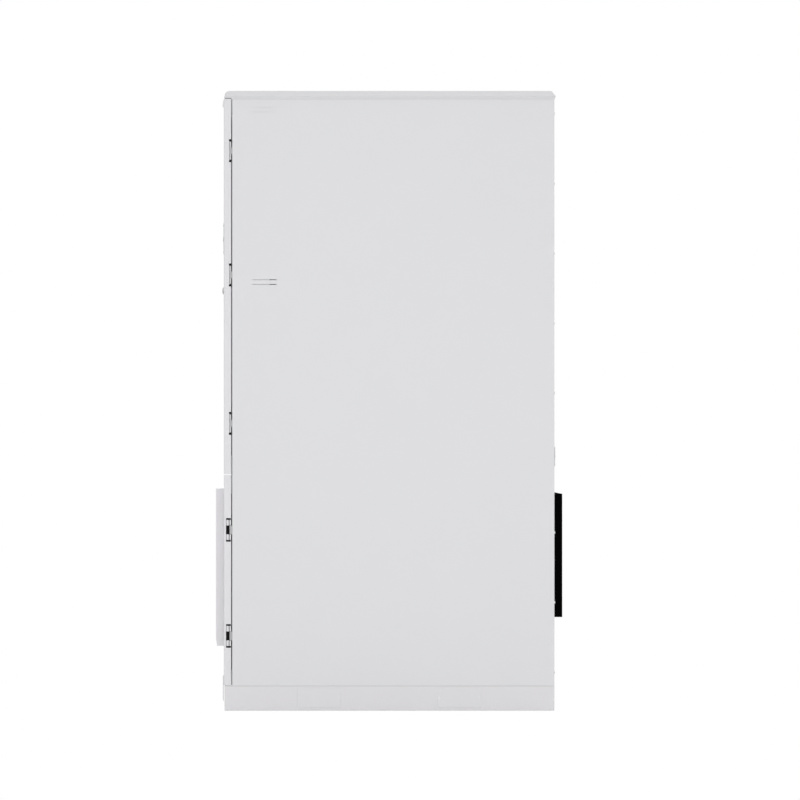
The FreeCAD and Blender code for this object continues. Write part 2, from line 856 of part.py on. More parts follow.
def upper_door_stiffener():
    """Lock rail and two hat stiffeners of the upper door."""
    z0 = upper_opening[0] + 20
    z1 = upper_opening[1] - 20
    pieces = lock_rail(upper_opening, upper_lock_height, rod_guides(upper_opening, upper_lock_height))
    for x in (-hat_offset, hat_offset):
        pieces.append(hat_section(x, z0, z1))
    return Part.makeCompound(pieces)


def lower_door_stiffener():
    """Lock rail and one hat stiffener beside the intake window of the lower door."""
    pieces = lock_rail(lower_opening, lower_lock_height, rod_guides(lower_opening, lower_lock_height))
    x = (intake_width / 2 + filter_border + post_inner - seal_width) / 2
    pieces.append(hat_section(x, lower_opening[0] + 20, lower_opening[1] - 20))
    return Part.makeCompound(pieces)


# Hinges

def knuckle_half(share):
    return hinge_height * share / 2


def upper_pivot(level):
    return Vector(side_x - upper_pivot_inset, front_y + upper_pivot_depth, level)


def lower_pivot(level):
    return Vector(side_x - lower_pivot_inset, front_y + lower_pivot_depth, level)


def body_leaf(pivot, radius, half, foot_sheet, neck_sheet, pin_radius):
    """Middle block with its pin, a neck back to the cabinet and a foot plate on the cabinet's front."""
    knuckle = sided_bar(8, radius, pivot - Vector(0, 0, half), 2 * half, "z")
    pin = Part.makeCylinder(pin_radius, hinge_height - 2, pivot - Vector(0, 0, hinge_height / 2 - 1))
    neck = block(pivot.x - neck_sheet / 2, pivot.x + neck_sheet / 2, pivot.y, body_front, pivot.z - half,
                 pivot.z + half)
    foot = block(side_x - hinge_foot_x, pivot.x + neck_sheet / 2, body_front - foot_sheet, body_front,
                 pivot.z - half, pivot.z + half)
    return joined([knuckle, pin, neck, foot])


def hinge_body_leaves():
    """Cabinet halves of all five hinges."""
    leaves = []
    lower_top = split_height - door_end_gap / 2
    for level in hinge_levels(upper_hinge_shares, split_height + door_end_gap / 2, door_top):
        leaves.append(body_leaf(upper_pivot(level), upper_knuckle_radius, knuckle_half(upper_knuckle_share),
                                upper_leaf_sheet, upper_neck_sheet, upper_pin_radius))
    for level in hinge_levels(lower_hinge_shares, door_bottom, lower_top):
        leaves.append(body_leaf(lower_pivot(level), lower_knuckle_radius, knuckle_half(lower_knuckle_share),
                                lower_leaf_sheet, lower_neck_sheet, lower_pin_radius))
    return Part.makeCompound(leaves)


def door_knuckles(pivot, radius, share, pin_radius):
    """The two outer knuckles of one hinge, bored for the pin."""
    half = knuckle_half(share) + fit_gap
    length = hinge_height / 2 - 1 - half
    pieces = []
    for start in (pivot.z + half, pivot.z - half - length):
        knuckle = sided_bar(8, radius, Vector(pivot.x, pivot.y, start), length, "z")
        pieces.append((knuckle, start, length))
    bore = Part.makeCylinder(pin_radius + pin_clearance, hinge_height, pivot - Vector(0, 0, hinge_height / 2))
    return pieces, bore


def upper_hinge_leaves():
    """Door halves of the narrow hinges: plates on the inside of the door's return."""
    leaves = []
    for level in hinge_levels(upper_hinge_shares, split_height + door_end_gap / 2, door_top):
        pivot = upper_pivot(level)
        pieces, bore = door_knuckles(pivot, upper_knuckle_radius, upper_knuckle_share, upper_pin_radius)
        back = door_back - sheet
        plate_edge = pivot.x - upper_knuckle_radius - fit_gap
        plate = block(side_x - door_return + 1, plate_edge, back - upper_leaf_sheet, back,
                      level - hinge_height / 2 + 1, level + hinge_height / 2 - 1)
        arms = []
        for knuckle, start, length in pieces:
            arms += [knuckle, block(plate_edge - 1, pivot.x, back - upper_leaf_sheet, back, start, start + length)]
        leaves.append(joined([plate] + arms).cut(bore))
    return Part.makeCompound(leaves)


def lower_hinge_leaves():
    """Door halves of the block hinges: blocks on the inside of the door skin, tapered to the knuckles."""
    leaves = []
    lower_top = split_height - door_end_gap / 2
    for level in hinge_levels(lower_hinge_shares, door_bottom, lower_top):
        pivot = lower_pivot(level)
        pieces, bore = door_knuckles(pivot, lower_knuckle_radius, lower_knuckle_share, lower_pin_radius)
        for knuckle, start, length in pieces:
            foot = prism([(side_x - hinge_foot_x - 10, skin_back), (side_x - sheet - 4, skin_back),
                          (pivot.x, pivot.y - lower_knuckle_radius + 0.5), (pivot.x, pivot.y + 2),
                          (side_x - hinge_foot_x - 4, pivot.y - 1), (side_x - hinge_foot_x - 10, skin_back + 6)],
                         "z", start, length)
            leaves.append(joined([knuckle, foot]).cut(bore))
    return Part.makeCompound(leaves)


# Rod locks

def lock_housing(level):
    """Square recessed cup behind a bezel, with a gear case at its back that holds the racks in mesh."""
    bezel = block(lock_x - bezel_width / 2, lock_x + bezel_width / 2, front_y - bezel_proud, front_y,
                  level - bezel_height / 2, level + bezel_height / 2)
    bezel = chamfered(bezel, bezel_corner, Vector(0, 1, 0))
    front = front_y - bezel_proud
    wall = cup_half + cup_wall
    cup = block(lock_x - wall, lock_x + wall, front, cup_back, level - wall, level + wall)
    room_half = rod_outer + rod_play
    case_half = room_half + gear_case_wall
    case = block(lock_x - case_half, lock_x + case_half, cup_back, gear_back + gear_case_wall, level - gear_case_half,
                 level + gear_case_half)
    room = block(lock_x - room_half, lock_x + room_half, gear_front - fit_gap, gear_back + fit_gap,
                 level - gear_case_half - 1, level + gear_case_half + 1)
    body = joined([bezel, cup, case])
    body = body.cut(block(lock_x - cup_half, lock_x + cup_half, front - 1, front_y + cup_depth, level - cup_half,
                          level + cup_half))
    body = body.cut(room)
    depth = gear_back + gear_case_wall + 1 - front
    return body.cut(Part.makeCylinder(spindle_radius + pin_clearance, depth, Vector(lock_x, front, level),
                                      Vector(0, 1, 0)))


def involute_point(base, angle):
    """A point of the involute unwound by an angle, as radius and polar angle."""
    radius = base * math.sqrt(1 + angle * angle)
    return radius, angle - math.atan(angle)


def pinion(level):
    """Twelve-tooth involute pinion with a tooth space facing each rack."""
    pressure = math.radians(20)
    base = pitch_radius * math.cos(pressure)
    root = pitch_radius - 1.2 * gear_module
    tip = pitch_radius + 0.8 * gear_module
    pitch_unwind = math.tan(pressure)
    half_at_pitch = math.pi / (2 * gear_teeth) - gear_backlash / (4 * pitch_radius)
    start = half_at_pitch + (pitch_unwind - math.atan(pitch_unwind))
    last = math.sqrt((tip / base) ** 2 - 1)
    flank = []
    for k in range(3):
        radius, swing = involute_point(base, last * k / 2)
        flank.append((radius, start - swing))
    points = []
    for tooth in range(gear_teeth):
        middle = (tooth + 0.5) * 2 * math.pi / gear_teeth
        side = [(root, flank[0][1])] + flank
        for radius, offset in side:
            points.append((radius, middle - offset))
        for radius, offset in reversed(side):
            points.append((radius, middle + offset))
    outline = [(lock_x + r * math.cos(a), level + r * math.sin(a)) for r, a in points]
    return prism(outline, "y", gear_front, gear_width)


def lock_knob(level):
    """T-handle in the cup, with its hub, spindle and pinion in one piece."""
    y_axis = Vector(0, 1, 0)
    floor = front_y + cup_depth - fit_gap
    hub = sided_bar(barrel_sides, knob_hub_radius, Vector(lock_x, front_y - knob_hub_proud, level),
                    floor - front_y + knob_hub_proud, "y")
    half = knob_wing_width / 2
    tip = knob_tip_width / 2
    wing = prism([(lock_x - knob_wing_length, level - tip), (lock_x, level - half),
                  (lock_x + knob_wing_length, level - tip), (lock_x + knob_wing_length, level + tip),
                  (lock_x, level + half), (lock_x - knob_wing_length, level + tip)],
                 "y", front_y + 1, floor - 4 - front_y - 1)
    front_edges = [e for e in wing.Edges if abs(e.CenterOfMass.y - front_y - 1) < 0.01]
    wing = wing.makeChamfer(2, front_edges)
    spindle = Part.makeCylinder(spindle_radius, gear_back + 4 - floor, Vector(lock_x, floor, level), y_axis)
    knob = joined([hub, wing, spindle, pinion(level)])
    return knob.cut(Part.makeCylinder(plug_radius + pin_clearance, plug_length + knob_hub_proud,
                                      Vector(lock_x, front_y - knob_hub_proud - 0.01, level), y_axis))


def lock_plug(level):
    """Key plug in the handle's hub, with its key slot."""
    start = front_y - knob_hub_proud
    plug = Part.makeCylinder(plug_radius, plug_length + knob_hub_proud - fit_gap, Vector(lock_x, start, level),
                             Vector(0, 1, 0))
    return plug.cut(block(lock_x - 0.9, lock_x + 0.9, start - 1, start + 9, level - 4.2, level + 4.2))


def lock_rod(level, side, end):
    """Flat locking rod with a rack cut in it beside the pinion and a tapered far end; side is -1 or +1."""
    pitch = math.pi * gear_module
    half = (pitch / 2 - gear_backlash) / 2
    slope = math.tan(math.radians(20))
    tip = 0.7 * gear_module
    root = 1.2 * gear_module
    up = 1 if side < 0 else -1
    outline = [(rod_outer, -rack_tail), (rod_inner, -rack_tail)]
    for k in range(-rack_teeth_below, rack_teeth_above + 1):
        z = k * pitch
        at_tip = half - tip * slope
        at_root = half + root * slope
        outline += [(rod_inner, z - at_root), (pitch_radius - tip, z - at_tip), (pitch_radius - tip, z + at_tip),
                    (rod_inner, z + at_root)]
    reach = abs(end - level)
    outline += [(rod_inner, reach - rod_taper), (rod_inner + 1, reach), (rod_outer - 1, reach),
                (rod_outer, reach - rod_taper)]
    placed = [(lock_x + side * across, level + up * along) for across, along in outline]
    return prism(placed, "y", gear_front, gear_width)


def keeper_levels(opening):
    """Lower and upper faces of the two keeper plates in a door opening."""
    bottom = opening[0] + lip_sheet
    top = opening[1] - lip_sheet
    return [(bottom, bottom + keeper_height), (top - keeper_height, top)]


def rod_ends(opening):
    low, high = keeper_levels(opening)
    return low[1] + keeper_gap, high[0] - keeper_gap


def lock_keepers():
    """Folded keeper brackets in the door openings: each rod's end goes through its plate when it is locked."""
    keepers = []
    y0 = gear_front - keeper_front_wall
    y1 = gear_back + keeper_back_wall
    for opening in (lower_opening, upper_opening):
        for side, (z0, z1) in zip((1, -1), keeper_levels(opening)):
            x = lock_x + side * (rod_inner + rod_outer) / 2
            bracket = block(x - keeper_width / 2, x + keeper_width / 2, y0, y1, z0, z1)
            low = z0 - 1 if side > 0 else z0 + keeper_sheet
            high = z1 - keeper_sheet if side > 0 else z1 + 1
            hollow = block(x - keeper_width / 2 + keeper_sheet, x + keeper_width / 2 - keeper_sheet, y0 - 1, y1 + 1,
                           low, high)
            half = (rod_outer - rod_inner) / 2 + keeper_play
            slot = block(x - half, x + half, gear_front - keeper_play, gear_back + keeper_play, z0 - 1, z1 + 1)
            keepers.append(bracket.cut(hollow).cut(slot))
    return Part.makeCompound(keepers)


def status_lamps():
    """Three panel lamps: a lens standing proud of the door, and a body through its skin."""
    lamps = []
    for x, z in lamp_places():
        lens = sided_bar(barrel_sides, lamp_radius, Vector(x, front_y - lamp_proud, z), lamp_proud, "y")
        body = sided_bar(lamp_body_sides, lamp_body_radius, Vector(x, front_y, z), lamp_body_length, "y")
        lamps.append(joined([lens, body]))
    return Part.makeCompound(lamps)


# Intake

def intake_hood():
    """Louvred hood on the lower door: lanced blades lean inwards and upwards behind each slot."""
    half = hood_width / 2
    face = front_y - front_projection
    outer = prism([(front_y, hood_bottom), (face + hood_taper_depth, hood_bottom),
                   (face, hood_bottom + hood_taper_height), (face, hood_top), (front_y, hood_top)],
                  "x", -half, 2 * half)
    inner = prism([(front_y + 1, hood_bottom + hood_sheet), (face + hood_taper_depth + hood_sheet,
                   hood_bottom + hood_sheet), (face + hood_sheet, hood_bottom + hood_taper_height + 1),
                   (face + hood_sheet, hood_top - hood_sheet), (front_y + 1, hood_top - hood_sheet)],
                  "x", -half + hood_sheet, 2 * (half - hood_sheet))
    hood = outer.cut(inner)
    blades = []
    column = half - louvre_margin - louvre_column_gap / 2
    rows = int((hood_top - hood_bottom - 2 * louvre_margin) / louvre_pitch)
    for row in range(rows):
        z = hood_bottom + louvre_margin + 10 + row * louvre_pitch
        for centre in (-(column / 2 + louvre_column_gap / 2), column / 2 + louvre_column_gap / 2):
            slot = block(centre - column / 2, centre + column / 2, face - 1, face + hood_sheet + 1, z,
                         z + louvre_slot)
            hood = hood.cut(slot)
            blades.append(prism([(face + 0.3, z - 1), (face + hood_sheet, z - 1),
                                 (face + louvre_reach + hood_sheet, z + louvre_rise),
                                 (face + louvre_reach, z + louvre_rise)],
                                "x", centre - column / 2, column))
    return joined([hood] + blades)


def intake_filter():
    """Filter cassette behind the intake window: frame bars round a pleated mat."""
    half = intake_width / 2 + filter_border
    z0 = intake_bottom - filter_border
    z1 = intake_top + filter_border
    frame = frame_ring(half, z0, z1, filter_bar, skin_back, skin_back + filter_depth)
    mat_front = skin_back + 3
    pleats = []
    count = 20
    width = 2 * (half - filter_bar)
    step = width / count
    for k in range(count + 1):
        x = -half + filter_bar + k * step
        pleats.append((x, mat_front if k % 2 else mat_front + 8))
    back = [(x, y + 5) for x, y in reversed(pleats)]
    mat = prism(pleats + back, "z", z0 + filter_bar, z1 - z0 - 2 * filter_bar)
    return joined([frame, mat])


# Exhaust

def rear_grille():
    """Black exhaust louvre: a box frame with a sloped top and slanted slats across it."""
    half = grille_width / 2
    outer = prism([(rear_y, grille_bottom), (rear_y + rear_projection, grille_bottom),
                   (rear_y + rear_projection, grille_top - grille_slope), (rear_y, grille_top)],
                  "x", -half, 2 * half)
    window = block(-half + grille_wall, half - grille_wall, rear_y - 1, rear_y + rear_projection + 1,
                   grille_bottom + grille_wall, grille_top - grille_slope - grille_wall - 2)
    frame = outer.cut(window)
    slats = []
    z0 = grille_bottom + grille_wall
    z1 = grille_top - grille_slope - grille_wall
    pitch = (z1 - z0) / grille_slats
    inner = rear_y + 2
    outer_y = rear_y + rear_projection
    for k in range(grille_slats):
        z = z0 + k * pitch + 2
        slats.append(prism([(outer_y, z), (outer_y, z + grille_slat_sheet), (inner, z + pitch * 0.75),
                            (inner, z + pitch * 0.75 - grille_slat_sheet)],
                           "x", -half + grille_wall / 2, 2 * half - grille_wall))
    return joined([frame] + slats)


def fan_centres():
    return [Vector(-fan_spacing / 2, chassis_rear, fan_height), Vector(fan_spacing / 2, chassis_rear, fan_height)]


def fan_frames():
    """Fan shrouds: square deep frame with a round duct, four struts and the motor can with its shaft."""
    frames = []
    y_axis = Vector(0, 1, 0)
    half = fan_ring_radius + fan_ring_wall
    for centre in fan_centres():
        duct_end = centre.y + fan_depth + motor_length / 2
        duct = block(centre.x - half, centre.x + half, centre.y, duct_end, centre.z - half, centre.z + half)
        duct = chamfered(duct, fan_corner, y_axis)
        duct = duct.cut(Part.makeCylinder(fan_ring_radius, 2 * fan_depth, centre - Vector(0, 1, 0), y_axis))
        motor_start = centre + Vector(0, fan_depth - motor_overlap, 0)
        motor = sided_bar(barrel_sides, motor_radius, motor_start, motor_length, "y")
        pieces = [duct, motor]
        for k in range(4):
            arm = block(centre.x + motor_radius - 2, centre.x + fan_ring_radius + 1, centre.y + fan_depth + 3,
                        centre.y + fan_depth + 9, centre.z - strut_width / 2, centre.z + strut_width / 2)
            arm.rotate(centre, y_axis, 90 * k)
            pieces.append(arm)
        shaft = Part.makeCylinder(fan_shaft_radius, fan_hub_length - 4, motor_start, y_axis * -1)
        frames.append(joined(pieces + [shaft]))
    return Part.makeCompound(frames)


def blade_outline():
    """Cambered blade section in the plane of rotation's depth, set at the blade's pitch."""
    lean = math.radians(fan_blade_angle)
    camber = fan_chord * 0.1
    points = [(-fan_chord / 2, 0), (-fan_chord / 8, camber + fan_blade_sheet / 2), (fan_chord / 2, 0),
              (fan_chord / 8, camber - fan_blade_sheet / 2)]
    return [(a * math.cos(lean) - b * math.sin(lean), a * math.sin(lean) + b * math.cos(lean)) for a, b in points]


def fan_impeller(centre):
    """Seven cambered blades set at their pitch on a hub that is bored for the motor shaft."""
    y_axis = Vector(0, 1, 0)
    hub_start = centre + Vector(0, fan_depth - motor_overlap - fit_gap - fan_hub_length, 0)
    hub = sided_bar(barrel_sides, fan_hub_radius, hub_start, fan_hub_length, "y")
    reach = fan_ring_radius - fan_tip_gap - 4 - fan_hub_radius
    blades = []
    middle = hub_start.y + fan_hub_length / 2
    for k in range(fan_blades):
        blade = prism(blade_outline(), "z", fan_hub_radius - 6, reach + 6)
        blade.rotate(Vector(0, 0, 0), y_axis, 360.0 * k / fan_blades)
        blade.translate(Vector(centre.x, middle, centre.z))
        blades.append(blade)
    solid = hub.multiFuse(blades)
    bore_start = hub_start + Vector(0, fan_hub_length + 1, 0)
    return solid.cut(Part.makeCylinder(fan_shaft_radius + pin_clearance, fan_hub_length - 2, bore_start, y_axis * -1))


# Cooling unit

def cooling_chassis():
    """Sheet tunnel from the door to the rear: floor, sides, lid and a rear wall with the fan holes."""
    half = chassis_half_width
    outer = block(-half, half, chassis_front, chassis_rear, base_top, chassis_top)
    inner = block(-half + sheet, half - sheet, chassis_front - 1, chassis_rear - sheet, base_top + sheet,
                  chassis_top - sheet)
    chassis = outer.cut(inner)
    for centre in fan_centres():
        chassis = chassis.cut(Part.makeCylinder(fan_ring_radius, 20, centre - Vector(0, 10, 0), Vector(0, 1, 0)))
    return chassis


def condenser_coil():
    """Finned core with a round header pipe at each end, standing in the mouth of the chassis."""
    y0 = chassis_front + 2
    y1 = y0 + coil_depth
    half = coil_half_width - coil_header_radius
    core = block(-half, half, y0 + 4, y1 - 4, coil_bottom, coil_top)
    fins = []
    count = int(2 * half / coil_fin_pitch)
    for k in range(count):
        x = -half + (k + 0.5) * 2 * half / count
        fins.append(block(x - 3, x + 3, y0, y0 + 4, coil_bottom, coil_top))
    headers = []
    for side in (-1, 1):
        x = side * half
        headers.append(Part.makeCylinder(coil_header_radius, coil_top - coil_bottom + 20,
                                         Vector(x, (y0 + y1) / 2, coil_bottom - 10)))
    rests = [block(-half, -half + 60, y0 + 6, y1 - 6, base_top + sheet, coil_bottom),
             block(half - 60, half, y0 + 6, y1 - 6, base_top + sheet, coil_bottom)]
    return joined([core] + fins + headers + rests)


def compressor():
    """Welded compressor can on three feet, with a stepped crown and a pipe stub."""
    base = base_top + sheet
    crown_base = base + compressor_height - compressor_crown_height
    middle = Vector(compressor_x, compressor_y, base)
    can = sided_bar(barrel_sides, compressor_radius, middle + Vector(0, 0, 14), crown_base - base - 14, "z")
    crown = sided_bar(barrel_sides, compressor_crown, Vector(compressor_x, compressor_y, crown_base),
                      compressor_crown_height, "z")
    feet = []
    for k in range(3):
        foot = block(compressor_x, compressor_x + compressor_radius + 22, compressor_y - 16, compressor_y + 16,
                     base, base + 16)
        foot.rotate(middle, Vector(0, 0, 1), 30 + 120 * k)
        feet.append(foot)
    stub = sided_bar(8, 8, Vector(compressor_x, compressor_y, base + compressor_height), 30, "z")
    return joined([can, crown, stub] + feet)


def coolant_pump():
    """Circulation pump: motor barrel and volute, an outlet pipe and a cradle."""
    base = base_top + sheet
    z = base + pump_radius + 30
    start = Vector(pump_x, pump_y - pump_length / 2, z)
    barrel = joined([sided_bar(barrel_sides, pump_radius, start, pump_length * 0.6, "y"),
                     sided_bar(barrel_sides, pump_radius + 14, start + Vector(0, pump_length * 0.6, 0),
                               pump_length * 0.4, "y")])
    outlet = sided_bar(12, 16, Vector(pump_x, pump_y + pump_length * 0.3, z), pump_radius + 50, "z")
    cradle = prism([(pump_x - 60, base), (pump_x + 60, base), (pump_x + 40, z), (pump_x - 40, z)], "y",
                   pump_y - 50, 70)
    return joined([barrel, outlet, cradle])


def coolant_tank():
    """Blow-moulded expansion tank with a waist groove and a filler cap."""
    base = base_top + sheet
    half_x = tank_width / 2
    half_y = tank_depth / 2
    low = base + tank_height * 0.47
    high = base + tank_height * 0.53
    pieces = []
    for z0, z1, inset in ((base, low, 0), (low, high, 6), (high, base + tank_height, 0)):
        pieces.append(chamfered(block(tank_x - half_x + inset, tank_x + half_x - inset, tank_y - half_y + inset,
                                      tank_y + half_y - inset, z0, z1), 24 - inset, Vector(0, 0, 1)))
    pieces.append(sided_bar(12, 34, Vector(tank_x, tank_y, base + tank_height), 24, "z"))
    return joined(pieces)


# Battery bay

def pack_levels():
    return [pack_base + k * pack_pitch for k in range(pack_count)]


def bow_handle(centre, front, level):
    """A bent-bar handle lying flat, with its two legs on the front face."""
    half = handle_span / 2
    thick = 2 * handle_radius
    outline = [(centre - half, front), (centre - half, front - handle_reach), (centre + half, front - handle_reach),
               (centre + half, front), (centre + half - thick, front),
               (centre + half - thick, front - handle_reach + thick),
               (centre - half + thick, front - handle_reach + thick), (centre - half + thick, front)]
    bow = prism(outline, "z", level - handle_radius, thick)
    outer = []
    for edge in bow.Edges:
        upright = abs(edge.tangentAt(edge.FirstParameter).z) > 0.999
        if upright and abs(edge.CenterOfMass.y - front + handle_reach) < 0.01:
            outer.append(edge)
    return bow.makeChamfer(thick * 0.8, outer)


def battery_pack(base):
    """Sealed pack: ribbed tray, bolted flange, crowned cover and two bow handles at the front."""
    half = pack_width / 2
    y0 = pack_front
    y1 = pack_front + pack_depth
    z_axis = Vector(0, 0, 1)
    rim = base + pack_tray_height
    tray = chamfered(block(-half + pack_flange, half - pack_flange, y0 + pack_flange, y1 - pack_flange, base, rim),
                     pack_corner, z_axis)
    flange = chamfered(block(-half, half, y0, y1, rim, rim + pack_flange_sheet), pack_corner, z_axis)
    cover = chamfered(block(-half + 10, half - 10, y0 + 10, y1 - 10, rim + pack_flange_sheet, base + pack_height),
                      pack_corner, z_axis)
    cover = cover.makeChamfer(6, [e for e in cover.Edges if abs(e.CenterOfMass.z - base - pack_height) < 0.01])
    pieces = [tray, flange, cover]
    for k in range(-1, 2):
        pieces.append(block(k * rib_pitch - 5, k * rib_pitch + 5, y0 + 1, y0 + pack_flange + 2, base + 8, rim - 30))
    for side in (-1, 1):
        pieces.append(bow_handle(side * handle_offset, y0 + pack_flange, base + pack_tray_height - 24))
    return joined(pieces)


def pack_runners():
    """Angle runners welded between front and rear posts, one pair under each pack and the control box."""
    runners = []
    for level in pack_levels() + [control_base]:
        z0 = level - runner_sheet
        leg = block(post_inner - runner_sheet, post_inner, lip_front + lip_depth, bay_rear + frame_bar / 2, z0,
                    z0 + runner_leg)
        grip = block(pack_width / 2 - runner_grip, post_inner, riser_y + pipe_half + 4, pack_front + pack_depth, z0,
                     level)
        runner = joined([leg, grip])
        runners += [runner, mirrored(runner)]
    return Part.makeCompound(runners)


def terminal_places():
    """Front connectors: two on each pack, and two on the control box above them."""
    places = []
    for base in pack_levels() + [control_base]:
        for side in (-1, 1):
            places.append((side * terminal_offset, base + terminal_height))
    return places


def pack_terminals():
    """Touch-safe power connectors, block-shaped with a stepped nose, on the pack fronts."""
    y0 = pack_front + pack_flange
    terminals = []
    for x, z in terminal_places():
        base = block(x - terminal_half - 4, x + terminal_half + 4, y0 - 6, y0, z - terminal_half - 4,
                     z + terminal_half + 4)
        nose = block(x - terminal_half, x + terminal_half, y0 - terminal_length, y0 - 6, z - terminal_half,
                     z + terminal_half)
        terminals.append(joined([base, chamfered(nose, 5, Vector(0, 1, 0))]))
    return Part.makeCompound(terminals)


def busbar_links():
    """Flat links that join the packs in series, on alternate sides, and run up to the control box."""
    y1 = pack_front + pack_flange - terminal_length
    links = []
    levels = pack_levels() + [control_base]
    for k in range(pack_count):
        x = terminal_offset if k % 2 == 0 else -terminal_offset
        z0 = levels[k] + terminal_height
        z1 = levels[k + 1] + terminal_height
        bar = block(x - bar_width / 2, x + bar_width / 2, y1 - bar_thickness, y1, z0 - bar_width / 2,
                    z1 + bar_width / 2)
        links.append(chamfered(bar, bar_width * 0.3, Vector(0, 1, 0)))
    return Part.makeCompound(links)


def riser_block(side, half, z0, z1):
    """Upright block round the centre line of one riser: side is -1 or +1."""
    x = side * pipe_offset
    return block(x - half, x + half, riser_y - half, riser_y + half, z0, z1)


def branch(start, end, level):
    """A square stub between a riser and what it feeds."""
    x0, x1 = sorted([start, end])
    return block(x0, x1, riser_y - branch_half, riser_y + branch_half, level - branch_half, level + branch_half)


def coolant_manifold():
    """Square supply and return risers beside the packs, with a stub to each pack and one into the cooling unit."""
    risers = []
    top = pack_levels()[-1] + branch_height + 60
    for side in (-1, 1):
        face = side * (pipe_offset - pipe_half)
        pieces = [riser_block(side, pipe_half, manifold_foot - 2 * pipe_half, top)]
        pieces.append(branch(side * chassis_half_width, face + side, manifold_foot))
        for base in pack_levels():
            pieces.append(branch(side * (pack_width / 2 - pack_flange), face + side, base + branch_height))
        risers.append(joined(pieces))
    return Part.makeCompound(risers)


# Control box

def control_front():
    return pack_front


def control_box():
    """Folded box for the switchgear, open at the front, with louvre cuts in its lid."""
    half = pack_width / 2
    y0 = control_front() + panel_sheet
    outer = block(-half, half, y0, y0 + control_depth, control_base, control_base + control_height)
    inner = block(-half + control_sheet, half - control_sheet, y0 - 1, y0 + control_depth - control_sheet,
                  control_base + control_sheet, control_base + control_height - control_sheet)
    box = outer.cut(inner)
    top = control_base + control_height
    reach = vent_share * pack_width / 2
    for k in range(vent_rows):
        y = y0 + vent_setback + k * vent_pitch
        for x in (-pack_width / 5, pack_width / 5):
            box = box.cut(block(x - reach, x + reach, y, y + vent_width, top - 2 * control_sheet, top + 1))
    return box


def control_panel():
    """Front plate of the control box: seat of the switch, collars of the buttons and a breaker window."""
    half = pack_width / 2
    y0 = control_front()
    y_axis = Vector(0, 1, 0)
    plate = block(-half, half, y0, y0 + panel_sheet, control_base, control_base + control_height)
    middle = control_base + control_height / 2
    escutcheon = block(switch_offset - switch_plate / 2, switch_offset + switch_plate / 2, y0 - switch_seat, y0,
                       middle - switch_plate / 2, middle + switch_plate / 2)
    collars = []
    for x in button_offsets:
        collars.append(sided_bar(button_sides, button_collar, Vector(x, y0 - button_collar_depth, middle),
                                 button_collar_depth, "y"))
    plate = joined([plate, escutcheon] + collars)
    for x in button_offsets:
        plate = plate.cut(sided_bar(button_sides, button_radius + fit_gap, Vector(x, y0 - 20, middle), 40, "y"))
    plate = plate.cut(Part.makeCylinder(switch_stem_radius + pin_clearance, 40, Vector(switch_offset, y0 - 20,
                                                                                       middle), y_axis))
    hole = terminal_half + 4 + fit_gap
    for x in (-terminal_offset, terminal_offset):
        z = control_base + terminal_height
        plate = plate.cut(block(x - hole, x + hole, y0 - 1, y0 + panel_sheet + 1, z - hole, z + hole))
    return plate.cut(block(window_shift - window_width / 2, window_shift + window_width / 2, y0 - 1,
                           y0 + panel_sheet + 1, middle - window_height / 2, middle + window_height / 2))


def disconnect_handle():
    """Rotary disconnect: an eight-sided skirt, a tapered grip bar and the stem through the panel."""
    y0 = control_front() - switch_seat - fit_gap
    middle = control_base + control_height / 2
    skirt = sided_bar(8, switch_skirt_half, Vector(switch_offset, y0 - switch_skirt, middle), switch_skirt, "y")
    low = middle - switch_length / 2
    high = middle + switch_length / 2
    half = switch_width / 2
    front = y0 - switch_skirt - switch_grip
    grip = prism([(switch_offset - half, low), (switch_offset + half, low), (switch_offset + half - 2, high),
                  (switch_offset - half + 2, high)], "y", front, switch_grip)
    grip = grip.makeChamfer(3, [e for e in grip.Edges if abs(e.CenterOfMass.y - front) < 0.01])
    stem = Part.makeCylinder(switch_stem_radius, switch_stem, Vector(switch_offset, y0 - 2, middle),
                             Vector(0, 1, 0))
    return joined([skirt, grip, stem])


def push_button(x):
    """A push button, free in its collar, with a stem behind the panel."""
    start = Vector(x, control_front() - button_proud, control_base + control_height / 2)
    return sided_bar(button_sides, button_radius, start, button_length, "y")


def fire_canister():
    """Suppression canister lying under the roof deck in two strap brackets."""
    z = cap_bottom - sheet - canister_drop
    r = canister_radius
    length = canister_length
    start = Vector(-length / 2, canister_y, z)
    can = sided_bar(barrel_sides, r, start, length - canister_shoulder, "x")
    neck = sided_bar(barrel_sides, r / 2, start + Vector(length - canister_shoulder, 0, 0), canister_shoulder, "x")
    hangers = []
    for x in (-length / 4, length / 4):
        hangers.append(block(x - canister_strap / 2, x + canister_strap / 2, canister_y - r * 0.6,
                             canister_y + r * 0.6, z + r * 0.5, cap_bottom - sheet))
    return joined([can, neck] + hangers)


